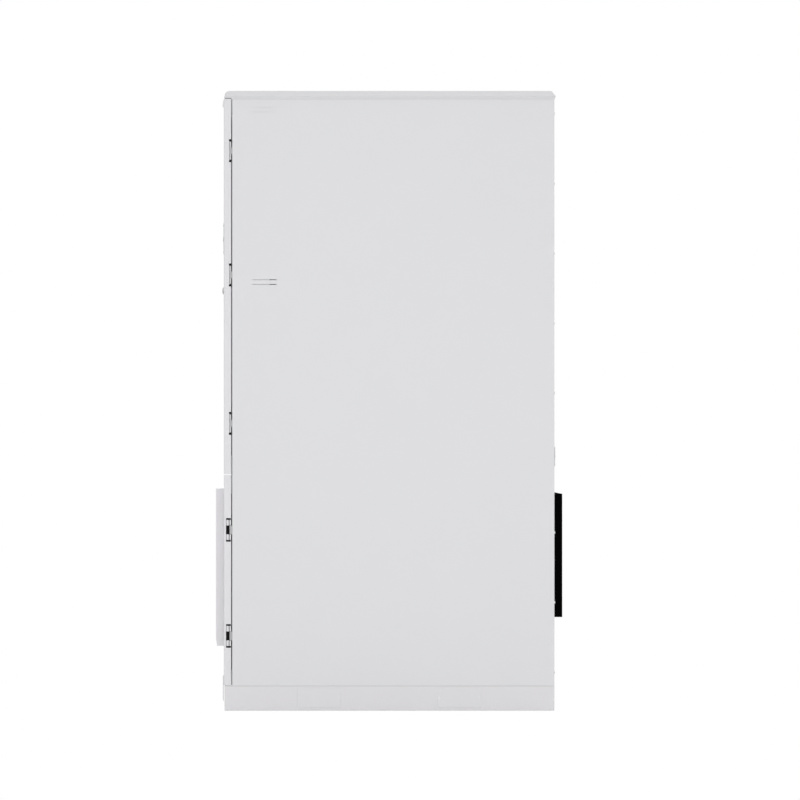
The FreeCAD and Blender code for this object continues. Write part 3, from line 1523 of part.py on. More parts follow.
def build():
    os.makedirs("parts", exist_ok=True)
    save("plinth_frame", plinth_frame())
    save("fork_pocket_tubes", fork_pocket_tubes())
    save("fork_pocket_covers", fork_pocket_covers())
    save("fork_cover_screws", fork_cover_screws())
    save("base_plate", base_plate())
    save("gland_plate", gland_plate())
    save("cable_glands", cable_glands())
    save("cabinet_frame", cabinet_frame())
    right = side_panel()
    save("side_panel_right", right)
    save("side_panel_left", mirrored(right))
    save("rear_panel", rear_panel())
    save("rear_cover_plate", rear_cover_plate())
    save("roof_cap", roof_cap())
    save("mid_shelf", mid_shelf())
    save("door_frame_lips", door_frame_lips())
    save("door_seals", door_seals())
    save("upper_door_shell", upper_door_shell())
    save("lower_door_shell", lower_door_shell())
    save("upper_door_stiffener", upper_door_stiffener())
    save("lower_door_stiffener", lower_door_stiffener())
    save("hinge_body_leaves", hinge_body_leaves())
    save("upper_hinge_leaves", upper_hinge_leaves())
    save("lower_hinge_leaves", lower_hinge_leaves())
    for door, level, opening in (("upper", upper_lock_height, upper_opening),
                                 ("lower", lower_lock_height, lower_opening)):
        low_end, high_end = rod_ends(opening)
        save(door + "_lock_housing", lock_housing(level))
        save(door + "_lock_knob", lock_knob(level))
        save(door + "_lock_plug", lock_plug(level))
        save(door + "_rod_up", lock_rod(level, -1, high_end))
        save(door + "_rod_down", lock_rod(level, 1, low_end))
    save("lock_keepers", lock_keepers())
    save("status_lamps", status_lamps())
    save("intake_hood", intake_hood())
    save("intake_filter", intake_filter())
    save("rear_grille", rear_grille())
    save("fan_frames", fan_frames())
    left_fan, right_fan = fan_centres()
    save("fan_impeller_left", fan_impeller(left_fan))
    save("fan_impeller_right", fan_impeller(right_fan))
    save("cooling_chassis", cooling_chassis())
    save("condenser_coil", condenser_coil())
    save("compressor", compressor())
    save("coolant_pump", coolant_pump())
    save("coolant_tank", coolant_tank())
    save("pack_runners", pack_runners())
    for number, base in enumerate(pack_levels(), start=1):
        save("battery_pack_" + str(number), battery_pack(base))
    save("pack_terminals", pack_terminals())
    save("busbar_links", busbar_links())
    save("coolant_manifold", coolant_manifold())
    save("control_box", control_box())
    save("control_panel", control_panel())
    save("disconnect_handle", disconnect_handle())
    save("start_button", push_button(button_offsets[0]))
    save("stop_button", push_button(button_offsets[1]))
    save("fire_canister", fire_canister())


build()
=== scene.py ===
import math
import bmesh
import bpy
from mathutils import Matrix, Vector


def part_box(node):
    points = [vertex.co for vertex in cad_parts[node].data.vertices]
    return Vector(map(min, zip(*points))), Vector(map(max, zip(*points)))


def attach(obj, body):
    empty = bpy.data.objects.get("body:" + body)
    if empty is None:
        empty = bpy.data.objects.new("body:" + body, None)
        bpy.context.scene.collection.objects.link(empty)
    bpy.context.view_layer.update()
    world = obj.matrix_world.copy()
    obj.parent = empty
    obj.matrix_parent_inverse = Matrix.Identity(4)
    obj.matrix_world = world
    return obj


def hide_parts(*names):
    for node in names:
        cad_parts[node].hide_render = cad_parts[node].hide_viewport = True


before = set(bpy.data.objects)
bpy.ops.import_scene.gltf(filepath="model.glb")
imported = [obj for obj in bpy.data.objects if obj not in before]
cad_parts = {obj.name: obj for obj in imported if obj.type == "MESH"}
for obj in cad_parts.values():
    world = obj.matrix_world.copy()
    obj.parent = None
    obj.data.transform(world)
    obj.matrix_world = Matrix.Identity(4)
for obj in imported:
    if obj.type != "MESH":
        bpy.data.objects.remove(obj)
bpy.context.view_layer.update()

# Plinth: a ring of folded 4 mm steel with two pockets through it for the forks of a truck, powder coated
# light grey after welding. Pressed covers close the pocket mouths, each held by two low screws.


class Wire:
    """A shader socket that can be used in a formula like a number."""

    def __init__(self, tree, socket):
        self.tree = tree
        self.socket = socket

    def node(self, kind, settings=None, sockets=None, result=0):
        made = self.tree.nodes.new(kind)
        for key, value in (settings or {}).items():
            setattr(made, key, value)
        for key, value in (sockets or {}).items():
            if isinstance(value, Wire):
                self.tree.links.new(value.socket, made.inputs[key])
            else:
                made.inputs[key].default_value = value
        return Wire(self.tree, made.outputs[result])

    def maths(self, operation, first, second):
        return self.node("ShaderNodeMath", {"operation": operation}, {0: first, 1: second})

    def __add__(self, other):
        return self.maths("ADD", self, other)

    def __sub__(self, other):
        return self.maths("SUBTRACT", self, other)

    def __mul__(self, other):
        return self.maths("MULTIPLY", self, other)

    def __gt__(self, other):
        return self.maths("GREATER_THAN", self, other)

    def __lt__(self, other):
        return self.maths("LESS_THAN", self, other)


class Finish:
    """A material with its plain values on the shader and its patterns read from places on the object."""

    def __init__(self, name, colour, roughness, metallic=0.0, coat=0.0, gloss=0.5):
        self.material = bpy.data.materials.new(name)
        self.material.use_nodes = True
        tree = self.material.node_tree
        self.shader = tree.nodes["Principled BSDF"]
        self.shader.inputs["Base Color"].default_value = (*colour, 1)
        self.shader.inputs["Roughness"].default_value = roughness
        self.shader.inputs["Metallic"].default_value = metallic
        self.shader.inputs["Coat Weight"].default_value = coat
        self.shader.inputs["Specular IOR Level"].default_value = gloss
        self.colour = colour
        coordinates = tree.nodes.new("ShaderNodeTexCoord")
        self.place = Wire(tree, coordinates.outputs["Object"])

    def along(self, axis):
        """Distance in metres along X, Y or Z."""
        return self.place.node("ShaderNodeSeparateXYZ", None, {0: self.place}, axis)

    def noise(self, scale, detail=2.0, stretch=(1, 1, 1)):
        place = self.place.node("ShaderNodeMapping", None, {"Vector": self.place, "Scale": stretch})
        pattern = {"Vector": place, "Scale": scale, "Detail": detail}
        return self.place.node("ShaderNodeTexNoise", None, pattern)

    def feed(self, socket, wire):
        wire.tree.links.new(wire.socket, self.shader.inputs[socket])

    def tint(self, other, mask):
        """Base colour that runs to another colour where the mask is one."""
        mixed = mask.node("ShaderNodeMix", {"data_type": "RGBA"},
                          {0: mask, 6: (*self.colour, 1), 7: (*other, 1)}, 2)
        self.feed("Base Color", mixed)

    def relief(self, height, depth):
        """Fine height of the surface, in metres from its lowest to its highest."""
        bump = height.node("ShaderNodeBump", None, {"Height": height, "Distance": depth, "Strength": 1.0})
        self.feed("Normal", bump)


def shade(colour, share):
    return tuple(value * share for value in colour)


def powder_coat(name, colour):
    """Fine-textured powder coat: orange peel in the surface and a faint unevenness of tone."""
    cloud_scale = 2.5
    peel_scale = 900.0
    peel_depth = 0.00012
    coat = Finish(name, colour, 0.55, gloss=0.3)
    coat.tint(shade(colour, 0.985), coat.noise(cloud_scale))
    coat.relief(coat.noise(peel_scale, 1.0), peel_depth)
    return coat


weld_reach = 0.00001
flat_angle = math.radians(0.5)
sharp_angle = math.radians(28)


def dress(finish, *nodes, edge=0.0006):
    """Gives CAD nodes their finish and breaks their sharp edges."""
    for name in nodes:
        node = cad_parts[name]
        node.data.materials.clear()
        node.data.materials.append(finish.material)
        node.data.polygons.foreach_set("use_smooth", [True] * len(node.data.polygons))
        weld = node.modifiers.new("weld", "WELD")
        weld.merge_threshold = weld_reach
        flat = node.modifiers.new("flat", "DECIMATE")
        flat.decimate_type = "DISSOLVE"
        flat.angle_limit = flat_angle
        bevel = node.modifiers.new("bevel", "BEVEL")
        bevel.width = edge
        bevel.segments = 2
        bevel.limit_method = "ANGLE"
        bevel.angle_limit = sharp_angle
        even = node.modifiers.new("even", "WEIGHTED_NORMAL")
        even.mode = "FACE_AREA"
        even.weight = 100


plinth_paint = powder_coat("plinth_paint", (0.735, 0.725, 0.740))
shell_paint = powder_coat("shell_paint", (0.735, 0.735, 0.750))
screw_steel = Finish("screw_steel", (0.62, 0.62, 0.63), 0.35, 1.0)
screw_steel.relief(screw_steel.noise(400.0, 1.0, (1, 1, 8)), 0.0001)
dress(plinth_paint, "plinth_frame", "fork_pocket_tubes")
dress(shell_paint, "fork_pocket_covers")
dress(screw_steel, "fork_cover_screws", edge=0.0003)

# Floor of the cabinet: a galvanised base plate on the plinth, and a separate drilled gland plate over its
# cable window. The four cable glands are black nylon, screwed up tight with hexagon nuts.


def galvanised(name):
    """Hot-dip zinc: large soft spangles, each with its own tone and sheen."""
    colour = (0.56, 0.57, 0.585)
    roughness = 0.42
    spangle_scale = 90.0
    zinc = Finish(name, colour, roughness, 0.9)
    pattern = {"Vector": zinc.place, "Scale": spangle_scale}
    spangle = zinc.place.node("ShaderNodeTexVoronoi", None, pattern, 1)
    tone = spangle.node("ShaderNodeSeparateColor", None, {0: spangle})
    zinc.tint(shade(colour, 0.78), tone)
    zinc.feed("Roughness", tone * 0.22 + roughness * 0.8)
    return zinc


zinc_sheet = galvanised("zinc_sheet")
black_nylon = Finish("black_nylon", (0.022, 0.022, 0.023), 0.5)
black_nylon.relief(black_nylon.noise(1200.0, 1.0), 0.0001)
dress(zinc_sheet, "base_plate", "gland_plate")
dress(black_nylon, "cable_glands", edge=0.0004)

# Frame: square tube posts, rails and headers, welded and powder coated with the plinth. The doors and panels
# close onto it.

dress(shell_paint, "cabinet_frame")

# Side panels: 2 mm sheet folded back at its edges and screwed on from inside, so the face is bare but for
# two pairs of thin vent slots near the front.

dress(shell_paint, "side_panel_right", "side_panel_left")

# Rear panel: flat sheet with pan-head screws near its edges, a small cover plate on it and a black
# louvred grille where the cooling air leaves.


def nothing_selected():
    if bpy.context.object and bpy.context.object.mode != "OBJECT":
        bpy.ops.object.mode_set(mode="OBJECT")
    bpy.ops.object.select_all(action="DESELECT")


def settle(name, finish, body):
    """Names the active piece, puts its place into its mesh and gives it its finish and body."""
    if bpy.context.object.mode != "OBJECT":
        bpy.ops.object.mode_set(mode="OBJECT")
    piece = bpy.context.object
    piece.name = name
    bpy.ops.object.transform_apply(location=True, rotation=True, scale=True)
    bpy.ops.object.shade_smooth_by_angle(angle=math.radians(30))
    piece.data.materials.clear()
    piece.data.materials.append(finish.material)
    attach(piece, body)
    return piece


def pick_faces(test):
    """Selects the faces of the piece in edit mode whose centre and normal pass a test."""
    mesh = bmesh.from_edit_mesh(bpy.context.object.data)
    bpy.ops.mesh.select_all(action="DESELECT")
    for face in mesh.faces:
        face.select = test(face.calc_center_median(), face.normal)
    mesh.select_flush(True)
    bmesh.update_edit_mesh(bpy.context.object.data)


turns = {"+x": (0, math.pi / 2, 0), "-x": (0, -math.pi / 2, 0), "+y": (-math.pi / 2, 0, 0),
         "-y": (math.pi / 2, 0, 0), "+z": (0, 0, 0), "-z": (math.pi, 0, 0)}


def axis_of(way):
    """The unit vector of a way such as +x or -y."""
    return Vector([{"+": 1, "-": -1}[way[0]] * (letter == way[1]) for letter in "xyz"])


def repeated(places):
    """Copies the active piece, each copy with its own mesh, to stand at every place, and joins them."""
    first = bpy.context.object
    pieces = [first]
    first.location = places[0]
    if len(places) == 1:
        return
    for place in places[1:]:
        copy = first.copy()
        copy.data = first.data.copy()
        bpy.context.collection.objects.link(copy)
        copy.location = place
        pieces.append(copy)
    nothing_selected()
    for piece in pieces:
        piece.select_set(True)
    bpy.context.view_layer.objects.active = first
    bpy.ops.object.join()


def screws(name, places, way, finish, body, radius=0.0045, proud=0.0018, sides=20):
    """Pan-head screws with a round recess, standing on a surface and pointing one way."""
    nothing_selected()
    bpy.ops.mesh.primitive_cylinder_add(vertices=sides, radius=radius, depth=proud * 2, rotation=turns[way])
    bpy.ops.object.transform_apply(location=False, rotation=True, scale=False)
    bpy.ops.object.mode_set(mode="EDIT")
    axis = axis_of(way)
    pick_faces(lambda centre, normal: normal.dot(axis) > 0.9)
    bpy.ops.mesh.inset(thickness=radius * 0.22)
    bpy.ops.transform.translate(value=axis * proud * 0.4)
    bpy.ops.mesh.inset(thickness=radius * 0.38)
    bpy.ops.mesh.extrude_region_move(TRANSFORM_OT_translate={"value": axis * -proud * 0.9})
    bpy.ops.object.mode_set(mode="OBJECT")
    repeated(places)
    settle(name, finish, body)


def blocks(name, size, places, finish, body):
    """Equal small blocks or strips with rounded edges."""
    nothing_selected()
    bpy.ops.mesh.primitive_cube_add(size=1)
    bpy.ops.transform.resize(value=size)
    bpy.ops.object.transform_apply(location=False, rotation=False, scale=True)
    bpy.ops.object.mode_set(mode="EDIT")
    bpy.ops.mesh.bevel(offset=min(size) * 0.12, segments=3, affect="EDGES")
    bpy.ops.object.mode_set(mode="OBJECT")
    repeated(places)
    settle(name, finish, body)


black_coat = Finish("black_coat", (0.0008, 0.0008, 0.0010), 0.75, gloss=0.02)
black_coat.relief(black_coat.noise(800.0, 1.0), 0.0001)
dress(shell_paint, "rear_panel", "rear_cover_plate")
dress(black_coat, "rear_grille")
panel_low, panel_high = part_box("rear_panel")
screw_inset = 0.014
screw_step = 0.23
end_margin = 0.05
rows = round((panel_high.z - panel_low.z) / screw_step)
row_pitch = (panel_high.z - panel_low.z - 2 * end_margin) / (rows - 1)
rear_places = [(x, panel_high.y, panel_low.z + end_margin + k * row_pitch)
               for x in (panel_low.x + screw_inset, panel_high.x - screw_inset) for k in range(rows)]
screws("rear_panel_screws", rear_places, "+y", screw_steel, "cabinet")
cover_low, cover_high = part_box("rear_cover_plate")
cover_inset = 0.009
cover_middle = (cover_low.z + cover_high.z) / 2
cover_places = [(x, cover_high.y, cover_middle)
                for x in (cover_low.x + cover_inset, cover_high.x - cover_inset)]
screws("rear_cover_screws", cover_places, "+y", screw_steel, "cabinet", radius=0.003, proud=0.001)

# Roof cap: one pressed sheet that drops over the frame, with rounded front and rear edges and a short
# overhang that sheds the rain clear of the panels.

roof_paint = powder_coat("roof_paint", (0.672, 0.672, 0.685))
dress(roof_paint, "roof_cap")

# Shelf between the bays: plain galvanised sheet with cut-outs for the coolant risers and the cables. It lies
# on the frame and keeps the wet cooling unit apart from the packs above.

dress(zinc_sheet, "mid_shelf")

# Door openings: a raised sheet lip round each, with a foamed rubber seal pushed onto its edge. The lip is
# painted darker than the cabinet, as painted shade where it lies in the gap. Near-black strips stuck to the
# frame close the gap beside the doors, as painted shade where the lip does not reach; thin fillers close the
# seams under the roof cap (near-black, painted shade) and over the plinth (the lip's darker grey, painted
# shade), and a baffle stands behind the lower pair of vent slots on either side.


def both_sides(x, y, z):
    """The same place on the left and on the right."""
    return [(-x, y, z), (x, y, z)]


# Lip paint: the cabinet's light grey made darker, as painted shade for the gap the lip sits in.
shaded_lip_paint = powder_coat("shaded_lip_paint", (0.50, 0.50, 0.51))
seal_rubber = Finish("seal_rubber", (0.018, 0.018, 0.018), 0.75)
seal_rubber.relief(seal_rubber.noise(1500.0, 2.0), 0.0003)
dress(shaded_lip_paint, "door_frame_lips")
dress(seal_rubber, "door_seals")
# Near-black strip material: painted shade, put where only the shade of the gaps is seen.
gap_shade_black = Finish("gap_shade_black", (0.035, 0.035, 0.037), 0.9, gloss=0.2)
gap_shade_black.relief(gap_shade_black.noise(1400.0, 3.0), 0.0004)
frame_face = -0.570
strip_width = 0.012
strip_depth = 0.0024
strip_x = 0.461
strip_margin = 0.0008
body_low = 0.093
split_low = 0.792
split_high = 0.922
lips_low, lips_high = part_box("door_frame_lips")
upper_low, upper_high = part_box("upper_door_shell")
strip_ends = ((body_low, lips_low.z), (split_low, split_high), (lips_high.z, upper_high.z))
# Strips beside the doors, from the lip ends to the door ends: painted shade of the deep gap.
for number, (low_end, high_end) in enumerate(strip_ends):
    strip_size = (strip_width, strip_depth, high_end - low_end - 2 * strip_margin)
    strip_places = both_sides(strip_x, frame_face - strip_depth / 2, (low_end + high_end) / 2)
    blocks("frame_strip_%d" % (number + 1), strip_size, strip_places, gap_shade_black, "cabinet")
seam_size = (0.988, 0.0258, 0.0022)
seam_y = -0.5841
cap_clearance = 0.003
cap_seam = upper_high.z + cap_clearance - seam_size[2] / 2
plinth_top = 0.090
# The filler under the roof cap is near-black, as painted shade of that seam.
blocks("cap_strip", seam_size, [(0, seam_y, cap_seam)], gap_shade_black, "cabinet")
# The filler over the plinth takes the same darker lip grey, as painted shade of that seam.
blocks("plinth_strip", seam_size, [(0, seam_y, plinth_top + seam_size[2] / 2)], shaded_lip_paint, "cabinet")
# Plinth joint: a thin strip of darker grey on either side, as painted shade of the groove between plinth and
# body.
groove_shade_grey = powder_coat("groove_shade_grey", (0.60, 0.60, 0.61))
groove_size = (0.0012, 1.19, 0.0028)
groove_x = 0.4998
groove_y = 0.002
blocks("plinth_groove", groove_size, both_sides(groove_x, groove_y, plinth_top), groove_shade_grey, "cabinet")
baffle_size = (0.0012, 0.086, 0.050)
baffle_x = 0.4955
baffle_y = -0.477
baffle_z = 1.556
blocks("slot_baffles", baffle_size, both_sides(baffle_x, baffle_y, baffle_z), shell_paint, "cabinet")

# Doors: folded trays of 2 mm sheet with welded stiffeners. The upper one has a drip lip along its top and the
# lower one a skirt that covers the joint with the plinth.

door_paint = powder_coat("door_paint", (0.752, 0.745, 0.768))
dress(door_paint, "upper_door_shell", "lower_door_shell", "upper_door_stiffener", "lower_door_stiffener")

# Hinges: narrow steel butt hinges on the upper door, their ends closed by black caps, and heavier block
# hinges on the lower one, with white blocks on the door either side of a black knuckle on the cabinet, and a
# black block at either end of the notch as painted shade of its clearance gap.

leaf_grey = (0.50, 0.50, 0.51)
hinge_zinc = Finish("hinge_zinc", leaf_grey, 0.45, 0.3)
upper_shares = (0.138, 0.469, 0.8646)
sleeve_start = 0.0325
sleeve_end = 0.045
cap_pitch = 0.0385
cap_levels = []
upper_ends = None
for share in upper_shares:
    upper_hinge = upper_high.z - share * (upper_high.z - upper_low.z)
    cap_levels += [upper_hinge - cap_pitch, upper_hinge + cap_pitch]
    middle_distance = hinge_zinc.along(2) - upper_hinge
    reach = middle_distance.node("ShaderNodeMath", {"operation": "ABSOLUTE"}, {0: middle_distance})
    end = (reach > sleeve_start) * (reach < sleeve_end)
    upper_ends = end if upper_ends is None else upper_ends + end
hinge_zinc.tint((0.01, 0.01, 0.01), upper_ends)
knuckle_coat = Finish("knuckle_coat", (0.003, 0.003, 0.003), 0.6, gloss=0.1)
lower_door_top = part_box("lower_door_shell")[1].z
knuckle_back = -0.579
above = knuckle_coat.along(2) > lower_door_top
behind = knuckle_coat.along(1) > knuckle_back
knuckle_coat.tint(leaf_grey, above.maths("MAXIMUM", above, behind))
lower_shares = (0.261, 0.7659)
cheek_pitch = 0.027
notch_shade_pitch = 0.040
cheek_levels = []
notch_shade_levels = []
for share in lower_shares:
    level = lower_door_top - share * (lower_door_top - body_low)
    cheek_levels += [level - cheek_pitch, level + cheek_pitch]
    notch_shade_levels += [level - notch_shade_pitch, level + notch_shade_pitch]
dress(hinge_zinc, "upper_hinge_leaves", edge=0.0003)
dress(door_paint, "lower_hinge_leaves", edge=0.0004)
dress(knuckle_coat, "hinge_body_leaves", edge=0.0004)
cheek_size = (0.0026, 0.0055, 0.0200)
cheek_x = 0.4970
cheek_y = -0.5765
blocks("hinge_cheeks", cheek_size, [(cheek_x, cheek_y, level) for level in cheek_levels], door_paint,
       "lower_door")
end_x = 0.4992
cap_size = (0.0026, 0.0080, 0.0060)
cap_y = -0.5775
blocks("hinge_end_caps", cap_size, [(end_x, cap_y, level) for level in cap_levels], black_coat, "upper_door")
# Black blocks at the ends of the lower hinge notches: painted shade of the clearance gaps there.
notch_shade_size = (0.0026, 0.0170, 0.0055)
notch_shade_y = -0.5830
blocks("hinge_notch_shade", notch_shade_size, [(end_x, notch_shade_y, level) for level in notch_shade_levels], black_coat, "lower_door")

# Locks: a turning T-handle in a recessed cup drives two racked rods into keepers at the top and bottom of
# its door. The cup is die-cast and blackened, the handle satin chrome with a key plug in its hub.

satin_chrome = Finish("satin_chrome", (0.60, 0.60, 0.60), 0.28, 1.0)
satin_chrome.relief(satin_chrome.noise(300.0, 1.0, (1, 1, 14)), 0.00005)
cup_black = Finish("cup_black", (0.05, 0.05, 0.052), 0.45)
cup_black.relief(cup_black.noise(900.0, 1.0), 0.0001)
zinc_plated = Finish("zinc_plated", (0.62, 0.62, 0.60), 0.33, 1.0)
zinc_plated.tint((0.50, 0.51, 0.53), zinc_plated.noise(40.0))
dress(satin_chrome, "upper_lock_knob", "lower_lock_knob", edge=0.0008)
dress(satin_chrome, "upper_lock_plug", "lower_lock_plug", edge=0.0003)
dress(cup_black, "upper_lock_housing", "lower_lock_housing", edge=0.0005)
dress(zinc_plated, "upper_rod_up", "upper_rod_down", "lower_rod_up", "lower_rod_down", "lock_keepers",
      edge=0.0004)
bezel_pitch = 0.048
for door in ("upper", "lower"):
    bezel_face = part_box(door + "_lock_housing")[0].y
    plug_low, plug_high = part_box(door + "_lock_plug")
    plug_x = (plug_low.x + plug_high.x) / 2
    plug_z = (plug_low.z + plug_high.z) / 2
    bezel_places = [(plug_x, bezel_face, plug_z + side * bezel_pitch) for side in (-1, 1)]
    screws(door + "_bezel_screws", bezel_places, "-y", satin_chrome, door + "_door", radius=0.003,
           proud=0.0008)

# Status lamps: three frosted plastic domes in the upper door, pressed into its skin from outside, each with
# a thin bezel ring against the paint.

lamp_bezel = Finish("lamp_bezel", (0.70, 0.70, 0.71), 0.4)
lamp_bezel.relief(lamp_bezel.noise(900.0), 0.0001)
lamp_lens = Finish("lamp_lens", (0.80, 0.80, 0.78), 0.25, 0.0, 0.3)
lamp_lens.relief(lamp_lens.noise(500.0), 0.0001)
dress(lamp_lens, "status_lamps", edge=0.0022)


def ring(name, places, way, outer, inner, thick, finish, body):
    """Flat turned rings with broken edges."""
    nothing_selected()
    bpy.ops.mesh.primitive_cylinder_add(vertices=64, radius=outer, depth=thick, end_fill_type="NGON",
                                        rotation=turns[way])
    bpy.ops.object.transform_apply(location=False, rotation=True, scale=False)
    bpy.ops.object.mode_set(mode="EDIT")
    axis = axis_of(way)
    pick_faces(lambda centre, normal: abs(normal.dot(axis)) > 0.9)
    bpy.ops.mesh.inset(thickness=outer - inner, use_individual=True)
    bpy.ops.mesh.bridge_edge_loops()
    bpy.ops.mesh.select_all(action="SELECT")
    bpy.ops.object.mode_set(mode="OBJECT")
    bevel = bpy.context.object.modifiers.new("edge", "BEVEL")
    bevel.width = thick * 0.25
    bevel.segments = 2
    bevel.limit_method = "ANGLE"
    bpy.ops.object.modifier_apply(modifier="edge")
    repeated(places)
    settle(name, finish, body)


lamp_low, lamp_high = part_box("status_lamps")
lamp_rim = (lamp_high.z - lamp_low.z) / 2
lamp_proud = 0.006
ring_thick = 0.002
ring_width = 0.003
ring_fit = 0.0002
lamp_spots = [(x, lamp_low.y + lamp_proud - ring_thick / 2, (lamp_low.z + lamp_high.z) / 2)
              for x in (lamp_low.x + lamp_rim, 0, lamp_high.x - lamp_rim)]
ring("lamp_rings", lamp_spots, "-y", lamp_rim + ring_width, lamp_rim + ring_fit, ring_thick, lamp_bezel,
     "upper_door")

# Intake hood and filter: a welded hood with rows of pressed louvres over the lower door's window, and a
# frame of coarse black filter mat behind it.

filter_mat = Finish("filter_mat", (0.03, 0.03, 0.03), 0.9)
fibres = filter_mat.noise(260.0, 6.0)
filter_mat.tint((0.10, 0.10, 0.10), fibres)
filter_mat.relief(fibres, 0.002)
# Hood paint: the cabinet grey made lighter, as painted light that offsets the shade on the hood beside the
# door.
lightened_hood_paint = powder_coat("lightened_hood_paint", (0.830, 0.820, 0.840))
dress(lightened_hood_paint, "intake_hood")
dress(filter_mat, "intake_filter", edge=0.0004)

# Fans: two axial fans on the rear wall of the cooling unit, with black coated shrouds and blades of
# glass-filled nylon.

dress(black_coat, "fan_frames")


def pick_points(test):
    """Selects the points of the piece in edit mode whose place passes a test."""
    mesh = bmesh.from_edit_mesh(bpy.context.object.data)
    bpy.ops.mesh.select_all(action="DESELECT")
    for point in mesh.verts:
        point.select = test(point.co)
    mesh.select_flush(True)
    bmesh.update_edit_mesh(bpy.context.object.data)


def apply_all():
    for modifier in list(bpy.context.object.modifiers):
        bpy.ops.object.modifier_apply(modifier=modifier.name)


def impeller(side):
    """Seven twisted blades that widen to their tips, on a hub with a rounded nose."""
    node = "fan_impeller_" + side
    low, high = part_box(node)
    middle = (low + high) / 2
    blade_count = 7
    hub_radius = 0.044
    root_radius = 0.040
    tip_radius = 0.126
    root_chord = 0.036
    tip_chord = 0.054
    root_lean = 42
    tip_lean = 23
    rows = 6
    nothing_selected()
    bpy.ops.mesh.primitive_grid_add(x_subdivisions=5, y_subdivisions=rows, size=1)
    bpy.ops.object.mode_set(mode="EDIT")
    for row in range(rows + 1):
        share = row / rows
        chord = root_chord + (tip_chord - root_chord) * share
        lean = math.radians(root_lean + (tip_lean - root_lean) * share)
        radius = root_radius + (tip_radius - root_radius) * share
        pick_points(lambda place: abs(place.y - (share - 0.5)) < 0.01 and abs(place.z) < 0.0001)
        bpy.ops.transform.resize(value=(chord, 1, 1), center_override=(0, 0, 0))
        bpy.ops.transform.rotate(value=lean, orient_axis="Y", center_override=(0, 0, 0))
        bpy.ops.transform.translate(value=(0, radius - (share - 0.5), 1))
    bpy.ops.mesh.select_all(action="SELECT")
    bpy.ops.transform.translate(value=(0, 0, -1))
    bpy.ops.transform.rotate(value=math.pi / 2, orient_axis="X", center_override=(0, 0, 0))
    bpy.ops.object.mode_set(mode="OBJECT")
    wall = bpy.context.object.modifiers.new("wall", "SOLIDIFY")
    wall.thickness = 0.0026
    wall.offset = 0
    smooth = bpy.context.object.modifiers.new("smooth", "SUBSURF")
    smooth.levels = 2
    apply_all()
    bpy.ops.object.mode_set(mode="EDIT")
    bpy.ops.mesh.select_all(action="SELECT")
    bpy.ops.mesh.spin(steps=blade_count, dupli=True, angle=2 * math.pi, center=(0, 0, 0), axis=(0, 1, 0))
    bpy.ops.object.mode_set(mode="OBJECT")
    blades = bpy.context.object
    nothing_selected()
    bpy.ops.mesh.primitive_cylinder_add(vertices=64, radius=hub_radius, depth=high.y - low.y,
                                        rotation=turns["-y"])
    bpy.ops.object.transform_apply(location=False, rotation=True, scale=False)
    hub = bpy.context.object
    rounding = hub.modifiers.new("rounding", "BEVEL")
    rounding.width = 0.006
    rounding.segments = 4
    rounding.limit_method = "ANGLE"
    apply_all()
    blades.select_set(True)
    bpy.ops.object.join()
    hub.location = middle
    piece = settle("impeller_" + side, black_nylon, node)
    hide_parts(node)


for side in ("left", "right"):
    impeller(side)

# Cooling unit: a zinc sheet tunnel with the condenser coil at its mouth, then the compressor, the coolant
# pump and the expansion tank.

coil_fin_metal = Finish("coil_fin_metal", (0.74, 0.75, 0.76), 0.38, 1.0)
coil_fin_metal.tint((0.60, 0.61, 0.63), coil_fin_metal.noise(18.0))
pump_enamel = Finish("pump_enamel", (0.045, 0.055, 0.065), 0.4, 0.0, 0.3)
pump_enamel.relief(pump_enamel.noise(260.0), 0.0004)
tank_resin = Finish("tank_resin", (0.74, 0.73, 0.66), 0.38)
tank_resin.tint((0.66, 0.65, 0.57), tank_resin.noise(9.0))
dress(zinc_sheet, "cooling_chassis")
dress(coil_fin_metal, "condenser_coil", edge=0.0003)
dress(black_coat, "compressor", edge=0.0015)
dress(pump_enamel, "coolant_pump", edge=0.0015)
dress(tank_resin, "coolant_tank", edge=0.003)


def plates(name, low, high, step, thick, finish, body):
    """Thin upright sheets side by side along X between two corners."""
    nothing_selected()
    size = high - low
    bpy.ops.mesh.primitive_cube_add(size=1, location=(0, 0, 0))
    bpy.ops.transform.resize(value=(thick, size.y, size.z))
    bpy.ops.object.transform_apply(location=False, rotation=False, scale=True)
    bpy.ops.object.mode_set(mode="EDIT")
    bpy.ops.mesh.bevel(offset=thick * 0.2, segments=1, affect="EDGES")
    bpy.ops.object.mode_set(mode="OBJECT")
    count = int(size.x / step)
    middle = (low + high) / 2
    first = middle.x - (count - 1) * step / 2
    repeated([(first + k * step, middle.y, middle.z) for k in range(count)])
    settle(name, finish, body)


coil_low, coil_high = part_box("condenser_coil")
fin_room = Vector((0.032, 0.004, 0.012))
fin_step = 0.0029
fin_thick = 0.0003
plates("coil_fins", coil_low + fin_room, coil_high - fin_room, fin_step, fin_thick, coil_fin_metal, "cabinet")

# Battery packs: die-cast trays with screwed lids on sheet runners, their power connectors linked in series by
# orange insulated bars. Coolant comes up two risers and enters each pack at the side.

